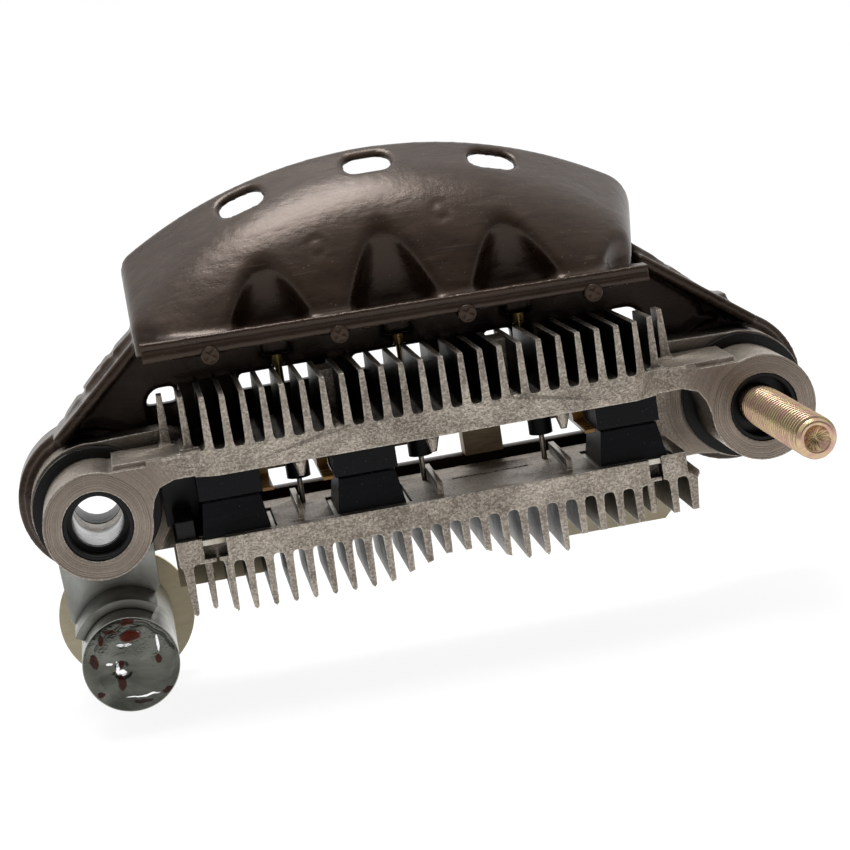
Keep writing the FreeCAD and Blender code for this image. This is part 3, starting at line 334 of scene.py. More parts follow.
def makeBrownMoulding(name, finish):
    material, tree, shader = newMaterial(name, Specular_Tint=finish["gloss"])
    edges = useGroup(tree, softEdges, Radius=finish["bevel"])
    skin = useGroup(tree, mouldedSkin)
    # painted shade in hollows from ambient occlusion, which also lowers the reflection there
    hollow = occlusionShade(tree, 0.014, 0.15, 0.85)
    lines = useGroup(tree, scuffs).outputs[0]
    colour = mixColour(tree, skin.outputs["Cloud"], finish["deep"], finish["warm"])
    # amber on edges, partly chipped wear and partly a painted highlight
    wearAndHighlight = combine(tree, "MULTIPLY", edges.outputs["Edge"], 0.5)
    colour = mixColour(tree, wearAndHighlight, colour, finish["wearAndHighlight"])
    specks = combine(tree, "MAXIMUM", skin.outputs["Dust"], combine(tree, "MULTIPLY", lines, 0.2))
    colour = mixColour(tree, combine(tree, "MULTIPLY", specks, 0.35), colour, finish["dust"])
    colour = mixColour(tree, hollow, colour, finish["shade"])
    tree.links.new(remap(tree, hollow, *finish["sheen"]), shader.inputs["Specular IOR Level"])
    tree.links.new(colour, shader.inputs["Base Color"])
    tree.links.new(remap(tree, skin.outputs["Cloud"], *finish["rough"]), shader.inputs["Roughness"])
    finishBump(tree, shader, skin.outputs["Height"], 1.0, finish["bump"], edges.outputs["Normal"])
    return material


def makePlastic(name, colour, pale, rough, bevel=0.00025, bump=0.00003, sheen=0.5):
    material, tree, shader = newMaterial(name, Specular_IOR_Level=sheen)
    edges = useGroup(tree, softEdges, Radius=bevel)
    skin = useGroup(tree, mouldedSkin, Scale=1.6)
    mottled = mixColour(tree, skin.outputs["Cloud"], colour, pale)
    mottled = mixColour(tree, combine(tree, "MULTIPLY", skin.outputs["Dust"], 0.3), mottled,
                        tuple(min(1.0, 0.25 + value) for value in pale))
    tree.links.new(mottled, shader.inputs["Base Color"])
    tree.links.new(remap(tree, skin.outputs["Cloud"], rough, rough + 0.12), shader.inputs["Roughness"])
    finishBump(tree, shader, skin.outputs["Height"], 1.0, bump, edges.outputs["Normal"])
    return material


def makePlated(name, colour, tint, rough, bevel=0.00015, bump=0.00002, scale=1.0, hollow=0.0012):
    material, tree, shader = newMaterial(name, Metallic=1.0)
    edges = useGroup(tree, softEdges, Radius=bevel)
    grain = useGroup(tree, castGrain, Scale=scale)
    lines = useGroup(tree, scuffs, Scale=1.5).outputs[0]
    mixed = mixColour(tree, grain.outputs["Patches"], colour, tint)
    mixed = mixColour(tree, combine(tree, "MULTIPLY", grain.outputs["Pits"], 0.3), mixed,
                      tuple(value * 0.35 for value in colour))
    mixed = mixColour(tree, combine(tree, "MULTIPLY", lines, 0.35), mixed,
                      tuple(min(1.0, value * 1.3) for value in colour))
    # painted shade in hollows such as the thread roots, from ambient occlusion
    mixed = mixColour(tree, combine(tree, "MULTIPLY", occlusionShade(tree, hollow, 0.25, 0.85), 0.85), mixed,
                      tuple(value * 0.12 for value in tint))
    tree.links.new(mixed, shader.inputs["Base Color"])
    tree.links.new(remap(tree, grain.outputs["Patches"], rough, rough + 0.12), shader.inputs["Roughness"])
    finishBump(tree, shader, grain.outputs["Height"], 1.0, bump, edges.outputs["Normal"])
    return material


finishes = {
    "cast_aluminium": makeCastAluminium("castAluminium", castFinish),
    "brown_phenolic": makeBrownMoulding("brownPhenolic", brownFinish),
    "black_plastic": makePlastic("blackBush", (0.004, 0.004, 0.004), (0.009, 0.008, 0.008), 0.26,
                                 sheen=0.22),
    "black_epoxy": makePlastic("blackEpoxy", (0.003, 0.0033, 0.0042), (0.008, 0.0088, 0.011), 0.40,
                               sheen=0.15),
    "plated_steel": makePlated("turnedSteel", (0.42, 0.42, 0.42), (0.30, 0.30, 0.31), 0.22, hollow=0.004),
    "yellow_plated_steel": makePlated("yellowChromate", (0.66, 0.54, 0.28), (0.56, 0.32, 0.29), 0.20,
                                      scale=2.5),
    "can_metal": makePlated("canTin", (0.42, 0.42, 0.38), (0.28, 0.28, 0.245), 0.28),
    "solder": makePlated("solder", (0.26, 0.26, 0.22), (0.15, 0.145, 0.12), 0.12, bump=0.00012),
    "cream_fibre": makePlastic("creamFibre", (0.80, 0.69, 0.46), (0.92, 0.83, 0.62), 0.55),
    "brown_fibre": makePlastic("brownFibre", (0.46, 0.37, 0.22), (0.62, 0.52, 0.34), 0.45),
    "zinc_steel": makePlated("dullZinc", (0.36, 0.37, 0.35), (0.24, 0.235, 0.21), 0.34),
    "tinned_copper": makePlated("tinnedCopper", (0.60, 0.57, 0.50), (0.44, 0.39, 0.31), 0.30),
    "laminate": makePlastic("laminate", (0.30, 0.20, 0.11), (0.55, 0.43, 0.27), 0.5),
    "varnished_copper": makePlastic("amberVarnish", (0.34, 0.15, 0.02), (0.55, 0.28, 0.05), 0.20),
    "brass": makePlated("drawnBrass", (0.30, 0.21, 0.08), (0.14, 0.10, 0.045), 0.25),
}

for entry in frame["record"]["subparts"]:
    mesh = nodes[entry["node"]].data
    mesh.materials.clear()
    mesh.materials.append(finishes[entry["material_slot"]])
print("finishes laid on the castings and mouldings")


# helpers for turned meshes; sizes in millimetres, x across, z up, depth towards the viewer

def turnedMesh(name, centre, depths, radii, material):
    rows, steps = radii.shape
    angle = np.arange(steps) * 2 * math.pi / steps
    spots = np.zeros((rows, steps, 3))
    spots[..., 0] = centre[0] + radii * np.cos(angle)
    spots[..., 1] = -(depths if depths.ndim == 2 else depths[:, None])
    spots[..., 2] = centre[1] + radii * np.sin(angle)
    index = np.arange(rows * steps).reshape(rows, steps)
    following = np.roll(index, -1, axis=1)
    faces = np.stack([index[:-1], following[:-1], following[1:], index[1:]], axis=-1).reshape(-1, 4)
    mesh = bpy.data.meshes.new(name)
    mesh.from_pydata((spots.reshape(-1, 3) * mm).tolist(), [], faces.tolist())
    mesh.validate()
    mesh.polygons.foreach_set("use_smooth", [True] * len(mesh.polygons))
    mesh.materials.append(material)
    piece = bpy.data.objects.new(name, mesh)
    bpy.context.scene.collection.objects.link(piece)
    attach(piece, "root")
    return piece


outputBolt = {"x": 96.3, "headFlats": 10.0, "headThick": 4.0, "shank": 2.7, "threadFrom": 21.0,
              "major": 3.0, "minor": 2.42, "pitch": 1.0, "end": 50.5, "tipRadius": 2.35,
              "dishRadius": 1.85, "dishDeep": 1.1, "flutes": 13, "fluteDeep": 0.10, "steps": 96,
              "ringsPerTurn": 14, "tipChamfer": 0.75, "chamferSlope": 0.85}


def makeBolt(size):
    steps = size["steps"]
    angle = np.arange(steps) * 2 * math.pi / steps
    hexagon = size["headFlats"] / 2 / np.cos((angle % (math.pi / 3)) - math.pi / 6)
    depths, radii = [], []

    def ring(depth, radius):
        depths.append(np.broadcast_to(depth, steps).copy())
        radii.append(np.broadcast_to(radius, steps).copy())

    ring(0.0, 0.001)
    ring(0.0, size["headFlats"] / 2 - 0.5)
    ring(0.05, np.minimum(hexagon, size["headFlats"] / 2 - 0.1))
    ring(0.5, hexagon)
    ring(size["headThick"] - 0.1, hexagon)
    ring(size["headThick"], hexagon - 0.1)
    ring(size["headThick"], size["shank"] + 0.15)
    ring(size["headThick"] + 0.3, size["shank"])
    ring(size["threadFrom"], size["shank"])
    chamferAt = size["end"] - size["tipChamfer"]
    pace = size["pitch"] / size["ringsPerTurn"]
    for depth in np.arange(size["threadFrom"] + 0.1, size["end"] - 0.02, pace):
        turn = (depth / size["pitch"] + angle / (2 * math.pi)) % 1.0
        flank = np.clip(np.abs(turn - 0.5) * 2 * 1.45 - 0.16, 0, 1)
        thread = size["major"] - (size["major"] - size["minor"]) * flank
        limit = size["major"] - max(0.0, depth - chamferAt) * size["chamferSlope"]
        ring(depth, np.minimum(thread, limit))
    ring(size["end"], size["tipRadius"])
    ring(size["end"], size["dishRadius"] + 0.12)
    for part in np.linspace(0, 1, 22):
        radius = size["dishRadius"] * (1 - part) + 0.002
        flute = size["fluteDeep"] * np.sin(angle * size["flutes"] + 2.0 * np.sin(angle * 3))
        flute = flute * math.sin(part * math.pi)
        deep = size["dishDeep"] * (1 - (1 - part) ** 2.2)
        ring(size["end"] - 0.05 - deep + flute, radius)
    bolt = turnedMesh("outputBoltThreaded", (size["x"], 0.0), np.array(depths), np.array(radii),
                      finishes["yellow_plated_steel"])
    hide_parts("output_bolt")


makeBolt(outputBolt)
print("bolt made")


# brown moulded cover, meshed from its distance field; millimetres, depth counts forward

cover = {
    "arcX": 46.95, "arcDrop": 27.0,
    # hood
    "left": 9.2, "right": 84.4, "low": 21.0, "frontDepth": 22.6, "rearDepth": 1.6, "kneeHeight": 23.6,
    "frontRadius": 62.2, "rearRadius": 71.3, "lean": 0.45, "wall": 1.2, "ridgeBlend": 6.5,
    "leftBlend": 1.4, "rightBlend": 4.0, "rimBlend": 1.5, "rightSplay": 0.18,
    "rightLean": 0.22, "rightWaist": 30.5,
    # niches: place across, height and radius
    "niches": [(7.4, 10.0, 6.3), (28.6, 11.4, 5.9), (46.2, 13.6, 6.4), (63.8, 12.1, 6.3),
               (83.0, 10.0, 6.5)],
    "nicheDepth": 23.7,
    # slots through the crown, in degrees from upright
    "slotAngles": (-16.0, 0.0, 15.4), "slotDepth": 6.0, "slotLength": 6.6, "slotWidth": 4.8,
    "slotCorner": 1.9,
    # lip with its four pins; a pin's rings are their distance behind its front and their radius
    "lipRear": 20.4, "lipFront": 23.1, "lipRight": 82.8, "lipTop": 23.8, "lipLow": 21.0, "lipFall": 0.9,
    "lipWaves": (1.1, 2.7, 4.9, 9.3), "lipDeep": 3.0,
    "pinFirst": 19.4, "pinPitch": 18.3, "pinCount": 4, "pinDrop": 0.3, "pinSteps": 40,
    "pinRear": 21.5, "pinFront": 23.7, "pinRadius": 1.3,
    "pinRings": [(0.2, 1.32), (0.04, 1.2), (0.0, 1.05), (0.12, 0.98)],
    "crossHalf": 0.22, "crossRise": 0.14, "crossTurn": 0.6,
    # ejector marks on the front wall, as place across and height
    "ejectorMarks": [(36.9, 32.6), (55.3, 34.6)], "ejectorRadius": 1.15, "ejectorHalf": 0.22,
    "ejectorRise": 0.10,
    # board behind the castings
    "boardRadius": 63.2, "boardRear": 3.8, "boardFront": 6.2, "boardLow": -8.4,
    "rimWidth": 1.4, "rimFront": 7.6, "rimLow": 8.4,
    "crossbar": (4.6, 12.1), "barBack": 0.4,
    "blanks": [(13.8, 23.4), (34.5, 40.5), (51.5, 60.5), (64.5, 79.8)],
    "tab": ((93.4, 11.8), (97.5, 14.3)), "chipDeep": 0.8,
    "window": (9.5, 84.6, -3.2, 14.5), "windowRound": 2.5,
    "ventWidth": 13.0, "ventPitch": 18.585, "ventMiddle": 46.4, "ventLow": 29.5,
    "earX": (0.0, 96.3), "earSteps": [(11.4, 6.5), (10.5, 7.2), (9.4, 7.9)], "holeRadii": (3.6, 2.75),
    "headRadius": 5.85, "headDeep": 4.0,
    "bossHalf": 2.0, "bossFront": 9.2, "bossLow": 16.9, "bossTop": 24.0, "bossFirst": 29.4,
    "bossPitch": 18.1,
    "ribTop": (9.8, 22.3), "ribFoot": (-4.0, 10.0), "ribHalf": 0.85, "ribFront": 12.1,
    "cell": 0.44,
}


def softMax(a, b, width):
    near = np.maximum(width - np.abs(a - b), 0) / width
    return np.maximum(a, b) + near * near * width / 4


def softMin(a, b, width):
    return -softMax(-a, -b, width)


def boxField(x, d, z, low, high):
    sides = [np.maximum(low[i] - value, value - high[i]) for i, value in enumerate((x, d, z))]
    return np.maximum(np.maximum(sides[0], sides[1]), sides[2])


def nicheField(size, x, d, z):
    up = z - size["kneeHeight"]
    away = (d - size["nicheDepth"] + size["lean"] * up) / math.hypot(1, size["lean"])
    field = None
    for place, height, radius in size["niches"]:
        span = radius * (1 - np.clip(up / height, 0, 1.25) ** 1.12)
        cone = (np.hypot(x - place, away) - span) * 0.88
        field = cone if field is None else np.minimum(field, cone)
    return field


def hoodField(size, x, d, z):
    slope = (size["rearRadius"] - size["frontRadius"]) / (size["frontDepth"] - size["rearDepth"])
    radius = size["frontRadius"] + (size["frontDepth"] - d) * slope
    out = np.hypot(x - size["arcX"], z + size["arcDrop"])
    crown = (out - radius) / math.hypot(1, slope)
    wall = (d - size["frontDepth"] + size["lean"] * (z - size["kneeHeight"])) / math.hypot(1, size["lean"])
    wall = softMax(wall, d - size["frontDepth"], 0.8)
    outer = softMax(crown, wall, size["ridgeBlend"])
    outer = softMax(outer, size["left"] - x, size["leftBlend"])
    end = size["right"] + size["rightSplay"] * ((size["frontDepth"] + size["rearDepth"]) / 2 - d)
    end = end + size["rightLean"] * (z - size["rightWaist"])
    outer = softMax(outer, x - end, size["rightBlend"])
    niches = nicheField(size, x, d, z)
    hollow = np.maximum(outer + size["wall"], size["wall"] - niches)
    outer = softMax(outer, size["rearDepth"] - d, 0.6)
    outer = np.maximum(outer, size["low"] - z)
    shell = np.maximum(outer, -hollow)
    shell = softMax(shell, -niches, size["rimBlend"])
    for angle in size["slotAngles"]:
        turn = math.radians(angle)
        across = (x - size["arcX"]) * math.cos(turn) - (z + size["arcDrop"]) * math.sin(turn)
        corner = size["slotCorner"]
        beside = np.maximum(np.abs(across) - size["slotLength"] / 2 + corner, 0)
        beyond = np.maximum(np.abs(d - size["slotDepth"]) - size["slotWidth"] / 2 + corner, 0)
        slot = np.hypot(beside, beyond) - corner
        slot = np.maximum(slot, size["frontRadius"] - 8 - out)
        shell = softMax(shell, -slot, 0.9)
    for place, height in size["ejectorMarks"]:
        ring = np.abs(np.hypot(x - place, z - height) - size["ejectorRadius"]) - size["ejectorHalf"]
        shell = shell + size["ejectorRise"] * np.clip(1 - np.maximum(ring, 0) / 0.3, 0, 1) * (d > 12)
    return shell


def lipField(size, x, d, z):
    fall = (x - size["left"]) / (size["lipRight"] - size["left"]) * size["lipFall"]
    top, low = size["lipTop"] - 0.15 - fall, size["lipLow"] + 0.15 - fall / 2
    upright = np.maximum(z - top, low - z)
    deep = np.maximum(d - size["lipFront"], size["lipRear"] - d)
    ends = np.maximum(size["left"] + 0.9 - x, x - size["lipRight"])
    return softMax(softMax(upright, deep, 0.7), ends, 0.7)


def boardField(size, x, d, z):
    arc = np.hypot(x - size["arcX"], z + size["arcDrop"])
    way = np.arctan2(z + size["arcDrop"], x - size["arcX"])
    ragged = np.sin(way * 61) + np.sin(way * 97 + 1) + np.sin(way * 173 + 2) + 0.6 * np.sin(way * 311 + d)
    onArms = np.clip(np.abs(x - size["arcX"]) / 10 - 3.7, 0, 1)
    arc = arc + size["chipDeep"] * onArms * np.clip(ragged / 2 - 0.2, 0, 1)
    flat = np.maximum(size["boardRear"] - d, d - size["boardFront"])
    below = np.where((x > 0) & (x < size["earX"][1]), size["boardLow"] - z, -z)
    plate = softMax(np.maximum(arc - size["boardRadius"], below), flat, 0.5)
    left, right, low, top = size["window"]
    reach = size["windowRound"]
    aside = np.abs(x - (left + right) / 2) - (right - left) / 2 + reach
    upward = np.abs(z - (low + top) / 2) - (top - low) / 2 + reach
    corner = np.hypot(np.maximum(aside, 0), np.maximum(upward, 0)) - reach
    opening = np.where((aside > 0) & (upward > 0), corner, np.maximum(aside, upward) - reach)
    plate = softMax(plate, -opening, 0.4)
    barLow, barTop = size["crossbar"]
    bar = boxField(x, d, z, (left - 1, size["boardRear"], barLow),
                   (right + 1, size["boardFront"] - size["barBack"], barTop))
    for blankLeft, blankRight in size["blanks"]:
        blank = boxField(x, d, z, (blankLeft, size["boardRear"], barLow),
                         (blankRight, size["boardFront"], top + 1))
        bar = np.minimum(bar, blank)
    plate = softMin(plate, bar, 0.5)
    for i in (-1, 0, 1):
        middle = size["ventMiddle"] + size["ventPitch"] * i
        vent = np.maximum(np.abs(x - middle) - size["ventWidth"] / 2, size["ventLow"] - 3 * abs(i) - z)
        plate = softMax(plate, -vent, 0.4)
    rim = np.maximum(np.abs(arc - size["boardRadius"] + size["rimWidth"] / 2) - size["rimWidth"] / 2,
                     np.maximum(size["boardRear"] - d, d - size["rimFront"]))
    rim = np.maximum(rim, size["rimLow"] - z)
    plate = softMin(plate, rim, 0.4)
    (tabLeft, tabLow), (tabRight, tabTop) = size["tab"]
    tab = boxField(x, d, z, (tabLeft, size["boardRear"], tabLow), (tabRight, size["rimFront"], tabTop))
    plate = softMin(plate, tab, 0.8)
    for i in range(3):
        middle = size["bossFirst"] + size["bossPitch"] * i
        boss = boxField(x, d, z, (middle - size["bossHalf"], size["boardRear"], size["bossLow"]),
                        (middle + size["bossHalf"], size["bossFront"], size["bossTop"]))
        plate = softMin(plate, boss, 0.4)
    for side in (0, 1):
        across = x if side == 0 else size["earX"][1] - x
        (topX, topZ), (footX, footZ) = size["ribTop"], size["ribFoot"]
        if side == 1:
            topX += size["earX"][1] - size["right"] - size["left"]
        length = math.hypot(topX - footX, topZ - footZ)
        alongX, alongZ = (topX - footX) / length, (topZ - footZ) / length
        along = (across - footX) * alongX + (z - footZ) * alongZ
        rib = np.abs((z - footZ) * alongX - (across - footX) * alongZ) - size["ribHalf"]
        rib = np.maximum(rib, np.maximum(-along, along - length))
        rib = softMax(rib, np.maximum(size["boardRear"] - d, d - size["ribFront"]), 0.5)
        plate = softMin(plate, rib, 0.8)
        ear = None
        for radius, face in size["earSteps"]:
            step = softMax(np.hypot(across, z) - radius, np.maximum(-d, d - face), 0.35)
            ear = step if ear is None else np.minimum(ear, step)
        plate = softMin(plate, ear, 0.5)
        plate = np.maximum(plate, size["holeRadii"][side] - np.hypot(across, z))
    turn = math.pi / 3
    angle = np.arctan2(z, x - size["earX"][1])
    hexagon = np.hypot(x - size["earX"][1], z) * np.cos((angle % turn) - turn / 2)
    pocket = np.maximum(hexagon - size["headRadius"] * math.cos(turn / 2), d - size["headDeep"])
    return np.maximum(plate, -pocket)


def coverField(size, x, d, z):
    hood = softMin(hoodField(size, x, d, z), lipField(size, x, d, z), 1.2)
    return softMin(hood, boardField(size, x, d, z), 0.6)


def surfaceNet(field, low, high, cell):
    axes = [np.arange(low[i] - cell, high[i] + 2 * cell, cell) for i in range(3)]
    values = field(*np.meshgrid(*axes, indexing="ij"))
    shape = np.array(values.shape)
    total, count = np.zeros((*(shape - 1), 3)), np.zeros(shape - 1)
    crossings = []
    for axis in range(3):
        a, b = (np.take(values, range(first, shape[axis] - 1 + first), axis) for first in (0, 1))
        crossed = (a < 0) != (b < 0)
        part = np.where(crossed, a / np.where(crossed, a - b, 1), 0)
        others = [other for other in range(3) if other != axis]
        for du in (0, 1):
            for dv in (0, 1):
                window = [slice(None)] * 3
                for other, shift in zip(others, (du, dv)):
                    window[other] = slice(shift, shape[other] - 1 + shift)
                here = crossed[tuple(window)]
                count += here
                total[..., axis] += part[tuple(window)]
                total[..., others[0]] += here * du
                total[..., others[1]] += here * dv
        crossings.append((crossed, a < 0, others))
    used = count > 0
    number = np.full(count.shape, -1)
    number[used] = np.arange(used.sum())
    spots = total[used] / count[used][:, None] + np.argwhere(used)
    spots = spots * cell + np.array([axis[0] for axis in axes])
    quads = []
    for axis, (crossed, inside, others) in enumerate(crossings):
        inner = [slice(None)] * 3
        for other in others:
            inner[other] = slice(1, shape[other] - 1)
        corners = []
        for du, dv in ((0, 0), (1, 0), (1, 1), (0, 1)):
            window = [slice(None)] * 3
            for other, shift in zip(others, (du, dv)):
                window[other] = slice(shift, shape[other] - 2 + shift)
            corners.append(number[tuple(window)][crossed[tuple(inner)]])
        faces = np.stack(corners, axis=1)
        outward = inside[tuple(inner)][crossed[tuple(inner)]]
        if axis == 1:
            outward = ~outward
        quads.append(np.where(outward[:, None], faces, faces[:, ::-1]))
    return spots, np.concatenate(quads)


def placeMesh(name, spots, faces, slotName):
    mesh = bpy.data.meshes.new(name)
    mesh.from_pydata((spots * mm).tolist(), [], faces)
    mesh.polygons.foreach_set("use_smooth", [True] * len(mesh.polygons))
    mesh.materials.append(finishes[slotName])
    piece = bpy.data.objects.new(name, mesh)
    bpy.context.scene.collection.objects.link(piece)
    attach(piece, "root")
    return piece


def makeCover(size):
    reach = size["earSteps"][0][0]
    low = (size["earX"][0] - reach, 0.0, -reach)
    high = (size["earX"][1] + reach, size["pinFront"], size["rearRadius"] - size["arcDrop"])
    spots, faces = surfaceNet(lambda x, d, z: coverField(size, x, d, z), low, high, size["cell"])
    spots[:, 1] *= -1
    piece = placeMesh("mouldedCover", spots, faces[:, ::-1].tolist(), "brown_phenolic")
    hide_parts("terminal_cover")
    print("cover meshed:", len(faces), "quads")


def makeLip(size):
    spans = np.arange(size["left"] + 0.8, size["lipRight"] + 0.01, 0.3)
    wave = sum(np.sin(spans * rate + rate) for rate in size["lipWaves"]) / 4
    chip = np.clip(np.sin(spans * 0.83) + np.sin(spans * 2.3 + 1) + np.sin(spans * 6.1) - 1.3, 0, 1)
    fall = (spans - size["left"]) / (size["lipRight"] - size["left"]) * size["lipFall"]
    top, low = size["lipTop"] - fall + 0.05 * wave, size["lipLow"] - fall / 2 + 0.04 * wave
    front = size["lipFront"] + 0.25
    back = front - size["lipDeep"]
    profile = [(back, top), (front - 0.35, top + 0.02), (front - 0.1, top - 0.05 - 0.2 * chip),
               (front - 0.25 * chip, top - 0.2 - 0.2 * chip), (front - 0.02, top - 0.85),
               (front - 0.2, top - 0.95), (front - 0.18, top - 1.1), (front + 0.02, top - 1.2),
               (front + 0.03 * wave, low + 0.35), (front - 0.1, low + 0.08), (front - 0.4, low),
               (back, low)]
    spots = [(spans, -(depth + 0 * spans), height) for depth, height in profile]
    spots = np.stack([np.stack(spot, axis=-1) for spot in spots], axis=1)
    count, points = spots.shape[:2]
    index = np.arange(count * points).reshape(count, points)
    following = np.roll(index, -1, axis=1)
    sides = np.stack([index[:-1], index[1:], following[1:], following[:-1]], axis=-1)
    faces = sides.reshape(-1, 4).tolist() + [index[0].tolist(), index[-1, ::-1].tolist()]
    placeMesh("coverLip", spots.reshape(-1, 3), faces, "brown_phenolic")


def makePins(size):
    steps = size["pinSteps"]
    angle = np.arange(steps) * 2 * math.pi / steps
    turned = angle + size["crossTurn"]
    rings = [(size["pinRear"], size["pinRadius"])]
    rings += [(size["pinFront"] - behind, radius) for behind, radius in size["pinRings"]]
    for i in range(size["pinCount"]):
        low = size["low"] - size["pinDrop"] - size["lipFall"] * i / 6
        centre = (size["pinFirst"] + size["pinPitch"] * i, low)
        depths = [np.full(steps, depth) for depth, radius in rings]
        radii = [np.full(steps, radius) for depth, radius in rings]
        for part in np.linspace(0.9, 0.001, 9):
            cross = np.minimum(np.abs(np.cos(turned)), np.abs(np.sin(turned))) * part
            raised = size["crossRise"] * np.clip(1 - cross / size["crossHalf"], 0, 1)
            depths.append(rings[-1][0] + raised)
            radii.append(np.full(steps, part))
        turnedMesh("coverPin%d" % (i + 1), centre, np.array(depths), np.array(radii),
                   finishes["brown_phenolic"])


makeCover(cover)
makeLip(cover)
makePins(cover)
print("lip and pins made")


# castings: the heatsinks with wider, rounder gaps between their fins. The profile is half a gap's width
# at each height above the base. Gaps in columns start at columnFront, in front of the two cast bosses.

castGaps = {
    "first": 11.4, "pitch": 2.81, "count": 26, "rear": 2.0, "front": 28.0,
    "profile": [(0.40, 0.0), (0.66, 0.14), (0.78, 0.45), (0.84, 1.0), (1.04, 7.6), (1.04, 9.0)],
    "upper": 8.16, "lower": -7.94, "columns": (8, 17), "columnFront": 18.2,
}

# boxes added to and cut from each casting, as the low and high corner in x, depth and z
castBoxes = {
    "positive_heatsink": {
        "fill": [((80.3, 23.0, 6.8), (87.1, 25.56, 7.85)), ((8.0, 23.0, 6.8), (14.9, 25.56, 7.85))],
        "cut": [],
    },
    "negative_heatsink": {
        "fill": [((13.4, 19.0, -7.85), (17.5, 23.4, -4.45)), ((77.7, 19.0, -7.85), (80.8, 23.4, -4.45))],
        "cut": [((13.0, 23.3, -17.0), (16.0, 28.0, -7.92)), ((77.2, 23.3, -17.0), (80.3, 28.0, -7.92))],
    },
}


def addBox(spots, faces, low, high):
    start = len(spots)
    spots += [((low, high)[i][0], -(low, high)[j][1], (low, high)[k][2])
              for i in (0, 1) for j in (0, 1) for k in (0, 1)]
    loops = [(0, 1, 3, 2), (4, 6, 7, 5), (0, 4, 5, 1), (2, 3, 7, 6), (0, 2, 6, 4), (1, 5, 7, 3)]
    faces += [[start + corner for corner in loop[::-1]] for loop in loops]


def toolObject(name, spots, faces):
    mesh = bpy.data.meshes.new(name)
    mesh.from_pydata((np.array(spots) * mm).tolist(), [], faces)
    shaped = bmesh.new()
    shaped.from_mesh(mesh)
    bmesh.ops.recalc_face_normals(shaped, faces=shaped.faces)
    shaped.to_mesh(mesh)
    shaped.free()
    tool = bpy.data.objects.new(name, mesh)
    bpy.context.scene.collection.objects.link(tool)
    return tool


def makeCutter(size, base, up, columns, boxes):
    spots, faces = [], []
    half = size["profile"]
    outline = [(wide, up * rise) for wide, rise in half] + [(-wide, up * rise) for wide, rise in half[::-1]]
    count = len(outline)
    for i in range(size["count"]):
        middle = size["first"] + size["pitch"] * (i + 0.5)
        rear = size["columnFront"] if i in columns else size["rear"]
        start = len(spots)
        for depth in (rear, size["front"]):
            spots += [(middle + wide, -depth, base + rise) for wide, rise in outline]
        near, far = list(range(start + count, start + 2 * count)), list(range(start, start + count))
        sides = [[far[j], far[(j + 1) % count], near[(j + 1) % count], near[j]] for j in range(count)]
        faces += sides + [far[::-1], near]
    for low, high in boxes:
        addBox(spots, faces, low, high)
    return toolObject("gapCutter", spots, faces)


def makeCasting(name, label, base, up, columns, size):
    source = nodes[name]
    mesh = source.data.copy()
    mesh.transform(source.matrix_world)
    welded = bmesh.new()
    welded.from_mesh(mesh)
    bmesh.ops.remove_doubles(welded, verts=welded.verts, dist=1e-6)
    welded.to_mesh(mesh)
    welded.free()
    piece = bpy.data.objects.new(label, mesh)
    bpy.context.scene.collection.objects.link(piece)
    spots, faces = [], []
    for low, high in castBoxes[name]["fill"]:
        addBox(spots, faces, low, high)
    tools = [(toolObject("filler", spots, faces), "UNION"),
             (makeCutter(size, base, up, columns, castBoxes[name]["cut"]), "DIFFERENCE")]
    for tool, operation in tools:
        change = piece.modifiers.new(tool.name, "BOOLEAN")
        change.object = tool
        change.operation = operation
        change.solver = "EXACT"
        change.use_self = operation == "DIFFERENCE"
    graph = bpy.context.evaluated_depsgraph_get()
    carved = bpy.data.meshes.new_from_object(piece.evaluated_get(graph))
    piece.modifiers.clear()
    for tool, operation in tools:
        bpy.data.objects.remove(tool)
    carved.polygons.foreach_set("use_smooth", [abs(face.normal.y) < 0.99 for face in carved.polygons])
    carved.set_sharp_from_angle(angle=math.radians(20))
    carved.materials.clear()
    carved.materials.append(finishes["cast_aluminium"])
    piece.data = carved
    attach(piece, "root")
    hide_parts(name)
    print(label, "carved:", len(carved.polygons), "faces")


makeCasting("positive_heatsink", "upperCasting", castGaps["upper"], 1, castGaps["columns"], castGaps)
makeCasting("negative_heatsink", "lowerCasting", castGaps["lower"], -1, (), castGaps)


# solder over the capacitor's end, with drops of varnish and pale patches for its glints; both are
# given as across, up and half sizes. The swirl moves them by drift on average, which is taken off.

capEnd = {"x": 1.1, "z": -20.1, "front": 26.6, "radius": 6.78, "rise": 0.82, "step": 0.38, "steps": 120,
          "swirl": 0.0011, "drift": 0.55,
          "spots": [(0.27, 6.30, 1.1, 0.45), (0.5, 4.3, 1.5, 0.8), (-5.0, 1.35, 0.6, 0.95),
                    (-1.7, -2.2, 0.6, 1.3), (-4.8, -3.55, 0.55, 0.35), (0.8, -5.5, 1.3, 0.35),
                    (4.5, -4.6, 0.9, 0.4), (-1.4, 0.5, 0.5, 0.5), (-2.3, 5.2, 1.0, 0.3),
                    (-3.7, 4.1, 0.35, 0.7), (3.9, 0.4, 0.35, 0.6)],
          "glints": [(-1.3, -0.7, 0.75, 0.5), (-2.0, 0.1, 0.22, 0.9), (-2.9, 0.9, 0.4, 0.2),
                     (-0.5, 3.2, 1.0, 0.22), (4.0, 2.6, 0.2, 1.1), (0.9, -4.5, 2.2, 0.13),
                     (1.6, 4.6, 0.3, 0.3)],
          "solder": ((0.045, 0.047, 0.040), (0.15, 0.155, 0.135)), "glint": (0.95, 0.95, 0.95),
          "varnish": ((0.010, 0.0015, 0.0008), (0.11, 0.014, 0.003)), "rough": (0.10, 0.24),
          "bump": 0.00016}


